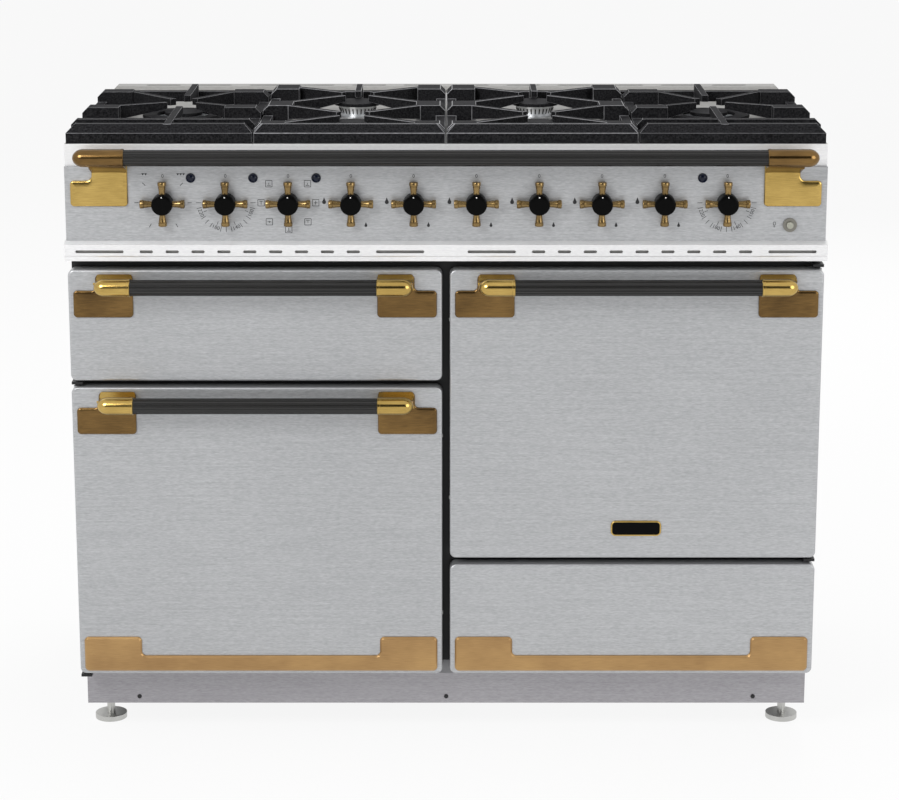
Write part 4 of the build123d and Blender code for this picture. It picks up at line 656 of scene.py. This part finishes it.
marks = bmesh.new()
for spot in knob_spots:
    add(marks, figure("0", ZERO_H, spot + Vector((0, ZERO_UP))))
GAS_KNOBS = range(3, 9)
for number in GAS_KNOBS:
    spot = knob_spots[number]
    for away, tall in FLAME_SPOTS:
        add(marks, printed(flame_outline(spot + away, tall)))
for number in (1, 9):
    spot = knob_spots[number]
    stroke = plate(bar_outline(Vector((0, 0)), 0.0, TICK_R, TICK_W), 0, -INK_T)
    start = (spot.x, PANEL_Y, spot.y)
    sizes = {"Copies": TICKS, "Start": start, "Axis": (0.0, 1.0, 0.0), "Turn Step": TICK_STEP}
    ticks = repeated(stroke, ink, sizes)
    covered = []
    for tick, text in NUMBERED_TICKS.items():
        turn = -tick * TICK_STEP
        middle = spot + NUMBER_R * Vector((math.cos(turn), math.sin(turn)))
        covered.append(Vector((middle.x, PANEL_Y, middle.y)))
        add(marks, figure(text, NUMBER_H, middle, turn + math.pi / 2))
        add(marks, printed(bar_outline(spot, turn, INNER_TICK_R, TICK_W)))
    hidden = [v for v in ticks.verts if any((v.co - c).length < NUMBER_CLEAR for c in covered)]
    bmesh.ops.delete(ticks, geom=hidden, context="VERTS")
    add(marks, ticks)
SELECTOR = knob_spots[2]
for place in range(7):
    turn = math.radians(45 - 45 * place)
    at = SELECTOR + ICON_R * Vector((math.cos(turn), math.sin(turn)))
    for across, up, wide, tall in (
        (0, ICON, ICON, LINE / 2),
        (0, -ICON, ICON, LINE / 2),
        (ICON, 0, LINE / 2, ICON),
        (-ICON, 0, LINE / 2, ICON),
        (0, (place % 3 - 1) * 0.5 * ICON, 0.6 * ICON, LINE / 2),
        (0, 0, LINE / 2, 0.3 * ICON * (place % 2 + 1)),
    ):
        middle = at + Vector((across, up))
        outline = [middle + Vector((a * wide, b * tall)) for a, b in ((-1, -1), (1, -1), (1, 1), (-1, 1))]
        add(marks, printed(outline))
GRILL = knob_spots[0]
for degrees in GRILL_STROKES:
    add(marks, printed(bar_outline(GRILL, math.radians(degrees), GRILL_STROKE_R, GRILL_STROKE_W)))
for middle, count in ARROW_ROWS:
    for n in range(count):
        at = GRILL + middle + Vector(((n - (count - 1) / 2) * ARROW_STEP, 0))
        add(marks, printed([at + Vector(p) * MM for p in ARROW]))
made("dial_marks", marks, ink, "cooker")

# Indicator lamps and light button: four neon lenses pressed into the panel, dark while unlit.
# The round button has a turned metal bezel and a pale plastic cap that presses in.
# The cap is drawn a hair smaller than its solid, so that its facets clear the bezel's bore.
LENS = (0.005, 0.008, 0.022)
BUTTON = (0.37, 0.37, 0.31)
BUTTON_EASE = 0.25 * MM
BEZEL = (0.27, 0.26, 0.23)
BULB_AWAY = Vector((-22, 0)) * MM
BULB_OUT = ((-1.9, -0.6, 1.2), (1.9, -0.6, 1.2), (1.9, 4.6, 1.8), (-1.9, 4.6, 1.8))
BULB_IN = ((-1.2, 0.1, 0.7), (1.2, 0.1, 0.7), (1.2, 3.9, 1.1), (-1.2, 3.9, 1.1))
BULB_LINE = ((-1.2, -0.35), (1.2, -0.35), (1.2, 0.35), (-1.2, 0.35))
BULB_LINES_UP = (-1.7, -3.0)
lens = Finish("dark_neon_lens", {"Base Color": LENS, "Specular IOR Level": 0.2, "Coat Roughness": 0.03})
facets = lens.noise((300, 300, 300), 1.0)
lens.feed({"Roughness": 0.06 + 0.08 * facets, "Coat Weight": 0.15})
LENS_PROFILE = ((0, 0), (0, 6.8), (1.3, 6.8), (1.9, 6.1), (1.7, 5.2), (2.6, 4.2), (3.3, 2.4), (3.6, 0))
lenses = bmesh.new()
for low, high in solids_of("indicator_lamps"):
    foot = ((low.x + high.x) / 2, PANEL_Y, (low.z + high.z) / 2)
    add(lenses, turned([(a * MM, r * MM) for a, r in LENS_PROFILE], foot, (0, -1, 0), 32))
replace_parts(made("indicator_lenses", lenses, lens, "cooker"), "indicator_lamps")
button = dressed("light_button", moulded("pale_button_plastic", BUTTON, 0.3))
dressed("gas_rail", zinc)
dressed("oven_controls", plated("nickelled_bezel", BEZEL, 0.24))
low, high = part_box("light_button")
for vert in button.data.vertices:
    outward = vert.co - (low + high) / 2
    outward.y = 0.0
    vert.co -= outward.normalized() * min(BUTTON_EASE, outward.length)
    vert.co.y = min(vert.co.y, high.y - BUTTON_EASE)
bulb_at = ((low + high) / 2).xz + BULB_AWAY
bulb = bmesh.new()
rows = []
for corners in (BULB_OUT, BULB_IN):
    ring = [bulb_at + p * MM for p in rounded(corners)]
    rows.append([bulb.verts.new((p.x, PANEL_Y - INK_T, p.y)) for p in ring])
outer_row, inner_row = rows
for n in range(len(outer_row)):
    after = (n + 1) % len(outer_row)
    bulb.faces.new((outer_row[n], outer_row[after], inner_row[after], inner_row[n]))
thick = bmesh.ops.extrude_face_region(bulb, geom=bulb.faces[:])["geom"]
bmesh.ops.translate(bulb, verts=[v for v in thick if isinstance(v, bmesh.types.BMVert)], vec=(0, INK_T, 0))
bmesh.ops.recalc_face_normals(bulb, faces=bulb.faces)
for up in BULB_LINES_UP:
    add(bulb, printed([bulb_at + Vector((across, up + rise)) * MM for across, rise in BULB_LINE]))
made("light_symbol", bulb, ink, "cooker")

# Knobs: ten turned black hubs, each with four brass spokes screwed into its side.
# A white dot near the edge of the hub shows where it points.
BRASS_LIGHT = (0.62, 0.43, 0.13)
BRASS_DARK = (0.38, 0.25, 0.065)
HUB_PROFILE = ((0, 0), (0, 15), (20, 15), (21.3, 14.4), (22, 13), (22.2, 8), (22.2, 0))
SPOKE_PROFILE = (
    (11.5, 0), (11.5, 4.4), (15, 4.4), (19, 4.6), (23, 5.2), (25.4, 5.7), (25.8, 5.2), (26.2, 5.2),
    (26.6, 6.2), (30.8, 6.3), (31.5, 6.0), (32, 5.2), (32, 0),
)
HUB_PROUD = 1 * MM
SPOKES_OUT = 11 * MM
DOT_PROFILE = ((0, 0), (0, 0.95), (0.28, 0.95), (0.35, 0))
DOT_AWAY = Vector((0, -22.0, 11.2)) * MM
BRONZE_LIGHT = (0.32, 0.215, 0.085)
BRONZE_DARK = (0.16, 0.105, 0.04)
HUB_BLACK = (0.003, 0.003, 0.003)
DOT_WHITE = (0.85, 0.85, 0.83)


def brass_finish(name, light, dark, roughness):
    """Lacquered brass, brushed across, whose tone drifts softly with age."""
    brass = Finish(name, {"Metallic": 1.0, "Coat Roughness": 0.12})
    cloud = brass.noise((16, 16, 22), 2.0)
    fine = brass.noise((60, 900, 900), 2.0)
    shade = brass.ramp(0.6 * cloud + 0.4 * fine, 0.3, 0.7)
    brass.feed({
        "Base Color": brass.mix(shade, light, dark),
        "Roughness": roughness + 0.14 * fine,
        "Coat Weight": 0.2,
    })
    brass.dents(fine, 0.1, 0.03 * MM)
    return brass


brass = brass_finish("polished_brass", BRASS_LIGHT, BRASS_DARK, 0.12)
spoke_brass = brass_finish("bronzed_brass", BRONZE_LIGHT, BRONZE_DARK, 0.2)
hub_black = moulded("gloss_black_hub", HUB_BLACK, 0.16)
hub_black.feed({"Specular IOR Level": 0.04})
dot_white = Finish("white_dot_paint", {"Base Color": DOT_WHITE})
dot_white.feed({"Roughness": 0.4 + 0.1 * dot_white.noise((800, 800, 800))})
for number, spot in enumerate(knob_spots, 1):
    body = f"knob_{number}"
    foot = Vector((spot.x, PANEL_Y - HUB_PROUD, spot.y))
    hub = turned([(a * MM, r * MM) for a, r in HUB_PROFILE], foot, (0, -1, 0), 48)
    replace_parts(made(f"{body}_hub", hub, hub_black, body), body)
    dot = turned([(a * MM, r * MM) for a, r in DOT_PROFILE], foot + DOT_AWAY, (0, -1, 0), 16)
    made(f"{body}_dot", dot, dot_white, body)
    spoke = turned([(a * MM, r * MM) for a, r in SPOKE_PROFILE], (0, 0, 0), (1, 0, 0), 24)
    start = (foot.x, foot.y - SPOKES_OUT, foot.z)
    sizes = {"Copies": 4, "Start": start, "Axis": (0.0, 1.0, 0.0), "Turn Step": math.pi / 2}
    made(f"{body}_spokes", repeated(spoke, spoke_brass, sizes), spoke_brass, body)

# Vent trim: a folded bright stainless strip under the control panel, slotted so that warm air can leave.
# Its sloped top edge is mitred at both ends.
# Behind the slots the sheet is folded back on itself, and that return shows through them in the darker copy
# of the steel, painted shade of the hollow behind the slots.
TRIM_WALL = 2 * MM
TRIM_SLOPE = 4 * MM
RETURN_BACK = 8 * MM
RETURN_T = 1 * MM
# The strip takes the near-white copy of the steel, a painted highlight.
dressed("vent_trim", highlit_steel_copy, 0.35 * MM)
low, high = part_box("vent_trim")
return_xs = (low.x + TRIM_WALL, high.x - TRIM_WALL)
return_zs = (low.z + TRIM_WALL, high.z - TRIM_SLOPE - TRIM_WALL)
return_outline = [(return_xs[a], return_zs[b]) for a, b in ((0, 0), (1, 0), (1, 1), (0, 1))]
trim_return = plate(return_outline, low.y + RETURN_BACK, low.y + RETURN_BACK - RETURN_T)
made("vent_trim_return", trim_return, shaded_steel_copy, "cooker")

# Fronts: the two oven doors, the grill drawer and the storage drawer, each a folded brushed sheet.
# The oven doors have enamelled liners behind them and turn on pins at the outer edges.
for front in ("left_door_panel", "right_door_panel", "grill_drawer_front", "storage_drawer_front"):
    dressed(front, steel)
dressed("left_door_liner", enamel, 0.8 * MM)
dressed("right_door_liner", enamel, 0.8 * MM)
SIDE_SCREW_R = 3.2 * MM
SIDE_SCREW_H = 1.2 * MM
SIDE_SCREW_BACK = 12 * MM
SIDE_SCREW_DOWN = 75 * MM
for door, inward, apart in (("left_door", 1, 272 * MM), ("right_door", -1, 268 * MM)):
    low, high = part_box(f"{door}_panel")
    edge_x = high.x if inward > 0 else low.x
    start = (edge_x, low.y + SIDE_SCREW_BACK, high.z - SIDE_SCREW_DOWN)
    sizes = {"Copies": 2, "Start": start, "Step": (0.0, 0.0, -apart)}
    head = screw_form(SIDE_SCREW_R, SIDE_SCREW_H, (inward, 0, 0))
    made(f"{door}_side_screws", repeated(head, zinc, sizes), zinc, door)

# Handles: a black reeded bar held at each end by a brass bracket, screwed through the front from behind.
# Each bracket is one casting: a stepped plate, an arm that leans out of it and a domed cap on the bar's end.
low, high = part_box("grill_handle_bar")
BAR_Y = (low.y + high.y) / 2
FACE_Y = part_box("grill_drawer_front")[0].y
PLATE_T = 4.0
PLATE_EDGE = 2.2
PLATE_CROWN = 0.9
PLATE_CROWN_IN = 12.0
BRACKET = (
    (7.5, -69.5, 5.5), (93.5, -69.5, 5.5), (93.5, -6, 6), (39.5, -6, 7), (39.5, -30, 6), (7.5, -30, 5.5)
)
CAP_START = 41.5
CAP_END = 93.5
CAP_R = 12.6
CAP_DOME = 15
CAP_BORE_R = 11.7
CAP_BORED = 25.5
COLLAR = ((-4.2, 0.0), (-3.8, 0.4), (-0.7, 0.4), (0.0, -0.4))
ARM_XS = (43, 92)
ARM_EDGE = 3 * MM
BAR_BLACK = (0.007, 0.007, 0.007)
BAR_GREY = (0.026, 0.025, 0.024)
# A darker copy of the brass: age, with painted shade and painted dark reflection on top.
AGED_SHADED_BRASS_LIGHT = (0.24, 0.14, 0.045)
AGED_SHADED_BRASS_DARK = (0.09, 0.05, 0.016)


def cap_form(long, foot, along):
    """A domed cap with a small collar, bored from its flat end to take the bar."""
    profile = [(0.0, 0.0)]
    for step in range(1, 9):
        turn = math.pi / 2 * step / 8
        profile.append((CAP_DOME * (1 - math.cos(turn)), CAP_R * math.sin(turn)))
    profile += [(long + reach, CAP_R + out) for reach, out in COLLAR]
    profile += [(long, CAP_BORE_R), (long - CAP_BORED, CAP_BORE_R), (long - CAP_BORED, 0.0)]
    return turned([(a * MM, r * MM) for a, r in profile], foot, along, 40)


def arm(side_profile, xs, edge):
    """A bar whose outline in Y and Z runs across from one X to the other, with rounded ends."""
    form = plate(side_profile, min(xs), max(xs))
    for vert in form.verts:
        vert.co = Vector((vert.co.y, vert.co.x, vert.co.z))
    ends = [e for e in form.edges if abs(e.verts[0].co.x - e.verts[1].co.x) < MERGE]
    bmesh.ops.bevel(form, geom=ends, offset=edge, segments=3, profile=0.5, affect="EDGES")
    bmesh.ops.recalc_face_normals(form, faces=form.faces)
    return form


def inset(corners, depth):
    """The corners of an outline moved inwards, their radii changed to match."""
    moved = []
    for n, (across, up, radius) in enumerate(corners):
        here = Vector((across, up))
        before = (here - Vector(corners[n - 1][:2])).normalized()
        after = (Vector(corners[(n + 1) % len(corners)][:2]) - here).normalized()
        inward = Vector((-before.y - after.y, before.x + after.x)) / (1 + before.dot(after))
        place = here + inward * depth
        grown = radius - depth if before.cross(after) > 0 else radius + depth
        moved.append((place.x, place.y, max(grown, 0.3)))
    return moved


def cast_plate(corners, to_place, face_y):
    """A cast bracket plate: rounded along its front edge and a little crowned."""
    form = bmesh.new()
    levels = [(0.0, 0.0)]
    for step in range(4):
        turn = math.pi / 6 * step
        levels.append((PLATE_EDGE * (1 - math.cos(turn)), PLATE_T - PLATE_EDGE * (1 - math.sin(turn))))
    for step in range(1, 6):
        share = step / 5
        depth = PLATE_EDGE + share * (PLATE_CROWN_IN - PLATE_EDGE)
        levels.append((depth, PLATE_T + PLATE_CROWN * math.sin(math.pi / 2 * share)))
    rings = []
    for depth, out in levels:
        ring = [to_place(p) for p in rounded(inset(corners, depth))]
        rings.append([form.verts.new((p.x, face_y - out * MM, p.y)) for p in ring])
    for ring, following in zip(rings, rings[1:]):
        for n in range(len(ring)):
            form.faces.new((ring[n - 1], ring[n], following[n], following[n - 1]))
    form.faces.new(rings[0])
    form.faces.new(rings[-1])
    bmesh.ops.recalc_face_normals(form, faces=form.faces)
    return form


black_bar = Finish("black_reeded_bar", {"Specular IOR Level": 0.5})
drawn = black_bar.noise((8, 900, 900), 2.0)
black_bar.feed({"Base Color": black_bar.mix(drawn, BAR_BLACK, BAR_GREY), "Roughness": 0.16 + 0.12 * drawn})
# The bracket plates take the darker copy of the brass: age, with painted shade and dark reflection beside the
# bars.
aged_shaded_brass = brass_finish("aged_brass_painted_shade", AGED_SHADED_BRASS_LIGHT, AGED_SHADED_BRASS_DARK, 0.14)
for name, front, body in (
    ("grill", "grill_drawer_front", "grill_drawer"),
    ("left", "left_door_panel", "left_door"),
    ("right", "right_door_panel", "right_door"),
):
    low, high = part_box(front)
    top = high.z
    bar_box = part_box(f"{name}_handle_bar")
    bar_z = (bar_box[0].z + bar_box[1].z) / 2
    plates = bmesh.new()
    caps = bmesh.new()
    for edge_x, inward in ((low.x, 1), (high.x, -1)):
        add(plates, cast_plate(
            BRACKET, lambda p: Vector((edge_x + inward * p.x * MM, top + p.y * MM)), FACE_Y
        ))
        foot = (edge_x + inward * CAP_START * MM, BAR_Y, bar_z)
        add(caps, cap_form(CAP_END - CAP_START, foot, (inward, 0, 0)))
        neck = [
            (FACE_Y - 3 * MM, top - 6 * MM),
            (FACE_Y - 14 * MM, top - 14.5 * MM),
            (BAR_Y + 5 * MM, bar_z + 6 * MM),
            (BAR_Y + 5 * MM, bar_z - 4 * MM),
            (FACE_Y - 14 * MM, bar_z - 7 * MM),
            (FACE_Y - 3 * MM, bar_z - 12 * MM),
        ]
        add(caps, arm(neck, [edge_x + inward * across * MM for across in ARM_XS], ARM_EDGE))
    made(f"{name}_bracket_plates", plates, aged_shaded_brass, body)
    piece = made(f"{name}_bracket_caps", caps, brass, body)
    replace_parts(piece, f"{name}_handle_brackets")
    dressed(f"{name}_handle_bar", black_bar, 0.0, 25)

# Hand rail: the same reeded bar across the front of the hob, to lean a towel on or steady a hand.
# Its brackets are screwed to the control panel, and a neck rises from each to the cap.
low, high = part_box("hand_rail_bar")
RAIL_Z = (low.z + high.z) / 2
RAIL_PLATE_W = 82
RAIL_PLATE = (
    (0, 0, 5.5), (RAIL_PLATE_W, 0, 5.5), (RAIL_PLATE_W, 37, 5.5), (51, 37, 8), (51, 66, 3), (0, 66, 3)
)
RAIL_CAP = 73
RAIL_ARM_XS = (1, 50)
RAIL_ARM_EDGE = 2.5 * MM
low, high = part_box("hand_rail_brackets")
RAIL_PLATE_LOW = low.z
RAIL_INNER = high.x - RAIL_PLATE_W * MM
rail_plates = bmesh.new()
rail_caps = bmesh.new()
for side in (-1, 1):
    add(rail_plates, cast_plate(
        RAIL_PLATE, lambda p: Vector((side * (RAIL_INNER + p.x * MM), RAIL_PLATE_LOW + p.y * MM)), PANEL_Y
    ))
    foot = (side * (RAIL_INNER + RAIL_CAP * MM), BAR_Y, RAIL_Z)
    add(rail_caps, cap_form(RAIL_CAP, foot, (-side, 0, 0)))
    neck = [
        (PANEL_Y - 2 * MM, RAIL_Z - 9 * MM),
        (BAR_Y, RAIL_Z - 8 * MM),
        (BAR_Y - 6 * MM, RAIL_Z - 10 * MM),
        (BAR_Y - 4 * MM, RAIL_Z - 13 * MM),
        (BAR_Y + 14 * MM, RAIL_Z - 18 * MM),
        (PANEL_Y - 2 * MM, RAIL_Z - 27 * MM),
    ]
    add(rail_caps, arm(neck, [side * (RAIL_INNER + across * MM) for across in RAIL_ARM_XS], RAIL_ARM_EDGE))
made("hand_rail_plates", rail_plates, brass, "cooker")
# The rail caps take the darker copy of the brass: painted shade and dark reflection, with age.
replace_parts(made("hand_rail_caps", rail_caps, aged_shaded_brass, "cooker"), "hand_rail_brackets")
dressed("hand_rail_bar", black_bar, 0.0, 25)

# Bottom trims: brass strips with a taller block at each end, stuck and screwed to the lower fronts.
# The front edge is chamfered all round and the brass has aged to a warm brown.
WARM_LIGHT = (0.5, 0.31, 0.13)
WARM_DARK = (0.34, 0.2, 0.085)
trim_brass = brass_finish("warm_trim_brass", WARM_LIGHT, WARM_DARK, 0.24)
dressed("left_door_trim", trim_brass, 0.3 * MM)
dressed("storage_drawer_trim", trim_brass, 0.3 * MM)

# Plaque: a small oblong plate low on the right door, left plain.
# It is a stamped brass rim around a black enamelled field, stuck to the sheet.
PLAQUE_W = 37
PLAQUE_H = 11.5
PLAQUE_CORNER = 7
PLAQUE_RIM = 2.0
PLAQUE_IN = 273.5 * MM
PLAQUE_UP = 46 * MM
RIM_T = 2.2 * MM
FIELD_BACK = 2.0 * MM
FIELD_FRONT = 2.6 * MM
low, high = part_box("right_door_panel")
plaque_at = Vector((low.x + PLAQUE_IN, low.z + PLAQUE_UP))


def plaque_outline(inward):
    wide, tall, radius = PLAQUE_W - inward, PLAQUE_H - inward, PLAQUE_CORNER - inward
    corners = [(across * wide, up * tall, radius) for across, up in ((-1, -1), (1, -1), (1, 1), (-1, 1))]
    return [plaque_at + p * MM for p in rounded(corners)]


rim = plate(plaque_outline(0), FACE_Y, FACE_Y - RIM_T, 0.8 * MM)
made("plaque_rim", rim, brass, "right_door")
field = plate(plaque_outline(PLAQUE_RIM), FACE_Y - FIELD_BACK, FACE_Y - FIELD_FRONT, 0.3 * MM)
made("plaque_field", field, hub_black, "right_door")

# Drawers: the grill pan rides in a wire carriage on runners, the storage drawer is a deep sheet box.
# The runners and the box are galvanised, the carriage is chromed wire and the pan is enamelled.
dressed("drawer_runners", galvanised, 0.4 * MM)
dressed("grill_carriage", chrome, 0.8 * MM)
dressed("grill_pan", enamel, 0.5 * MM)
dressed("storage_drawer_box", galvanised, 0.5 * MM)

# Plinth: a strip of brushed stainless sheet set back under the doors, where shoes reach it.
# It is held to the base frame by three dark screws and comes off to get at the feet.
PLINTH_DARK = (0.3, 0.29, 0.31)
PLINTH_LIGHT = (0.44, 0.43, 0.45)
dressed("plinth", brushed("plinth_stainless", PLINTH_DARK, PLINTH_LIGHT, 0.34, 0.2, 0.7), 0.4 * MM)
dressed("fixing_screws", dark_steel, 0.3 * MM)

# Rear connections: the gas inlet with its threaded tail and the box for the mains terminals.
# Both are zinc plated and fixed to the back panel, and the cable comes in through a gland under the box.
dressed("rear_connections", zinc, 0.6 * MM)

# Studio: a pale floor under a white sky, soft lamps at the left, right and above.
# A dark board behind the camera is there only to be mirrored in the brass.
FLOOR = 60.0
BOARD_X = 3.4
BOARD_Y = -5.4
BOARD_ZS = (1.1, 4.6)
PALE = (0.9, 0.9, 0.9)
WHITE = (1, 1, 1)
BOARD_BLACK = (0.02, 0.018, 0.016)
SKY_LIT = 0.42
SKY_SEEN = 0.94


def studio_sheet(name, corners, finish):
    """A flat sheet of the studio, which isn't part of the cooker."""
    mesh = bpy.data.meshes.new(name)
    mesh.from_pydata(corners, [], [(0, 1, 2, 3)])
    mesh.materials.append(finish.material)
    sheet = bpy.data.objects.new(name, mesh)
    bpy.context.scene.collection.objects.link(sheet)
    return sheet


def straight(nodes):
    """One for a ray that the camera sends or that is mirrored or let through on its way, else nought."""
    kinds = ("Camera", "Glossy", "Transmission")
    seen, mirrored, through = (nodes.node("ShaderNodeLightPath", {}, {}, f"Is {kind} Ray") for kind in kinds)
    return seen + mirrored + through


floor_finish = Finish("pale_floor", {"Base Color": PALE, "Roughness": 0.9, "Specular IOR Level": 0.1})
glow = floor_finish.node("ShaderNodeEmission", {}, {"Color": WHITE, "Strength": 1.0})
surface = Wire(floor_finish, floor_finish.shader.outputs[0])
shares = {0: 0.9 * straight(floor_finish), 1: surface, 2: glow}
pale = floor_finish.node("ShaderNodeMixShader", {}, shares)
floor_finish.put(pale, floor_finish.tree.nodes["Material Output"].inputs["Surface"])
floor_corners = [(-FLOOR, -FLOOR, 0), (FLOOR, -FLOOR, 0), (FLOOR, FLOOR, 0), (-FLOOR, FLOOR, 0)]
studio_sheet("studio_floor", floor_corners, floor_finish)

low_z, high_z = BOARD_ZS
board_outline = ((-BOARD_X, low_z), (BOARD_X, low_z), (BOARD_X, high_z), (-BOARD_X, high_z))
board_corners = [(x, BOARD_Y, z) for x, z in board_outline]
board = studio_sheet("dark_board", board_corners, powder_coat("board_black", BOARD_BLACK, 0.8))
board.visible_camera = False
board.visible_shadow = False

world = bpy.data.worlds.new("white_sky")
bpy.context.scene.world = world
world.use_nodes = True
sky = Nodes(world.node_tree)
levels = {"Value": straight(sky), "To Min": SKY_LIT, "To Max": SKY_SEEN}
backdrop = sky.tree.nodes["Background"].inputs
sky.put(sky.node("ShaderNodeMapRange", {}, levels), backdrop["Strength"])
sky.put(WHITE, backdrop["Color"])


def soft_lamp(name, at, aim, size, watts, mirrored):
    """A round soft lamp, which mirrors in the metal only where that is wanted."""
    lamp = bpy.data.lights.new(name, "AREA")
    lamp.shape = "DISK"
    lamp.size = size
    lamp.energy = watts
    holder = bpy.data.objects.new(name, lamp)
    holder.location = at
    holder.rotation_euler = (Vector(aim) - Vector(at)).to_track_quat("-Z", "Y").to_euler()
    holder.visible_glossy = mirrored
    bpy.context.scene.collection.objects.link(holder)


MIDDLE = (0, -0.1, 0.5)
soft_lamp("key_lamp", (-2.0, -2.8, 2.6), MIDDLE, 1.6, 75, True)
soft_lamp("fill_lamp", (2.6, -2.6, 1.7), MIDDLE, 2.2, 32, True)
soft_lamp("top_lamp", (0.2, 0.5, 3.2), (0, 0, 0.9), 1.8, 35, False)
soft_lamp("back_lamp", (1.0, 3.2, 2.2), MIDDLE, 2.0, 35, False)

# Camera: straight in front and about half a metre above the hob, on a long lens.
# It looks down a little, and a small shift of the lens holds the cooker in the frame.
CAMERA_BACK = 3.7
CAMERA_X = 0.0051
CAMERA_Z = 1.475
CAMERA_DOWN = math.radians(12.95)
camera_data = bpy.data.cameras.new("photo_camera")
camera_data.lens = 105.2
camera_data.sensor_width = 36.0
camera_data.shift_y = -0.07
camera = bpy.data.objects.new("photo_camera", camera_data)
camera.location = (CAMERA_X, FACE_Y - CAMERA_BACK, CAMERA_Z)
camera.rotation_euler = (math.pi / 2 - CAMERA_DOWN, 0, 0)
bpy.context.scene.collection.objects.link(camera)
bpy.context.scene.camera = camera
bpy.context.scene.view_settings.view_transform = "Standard"
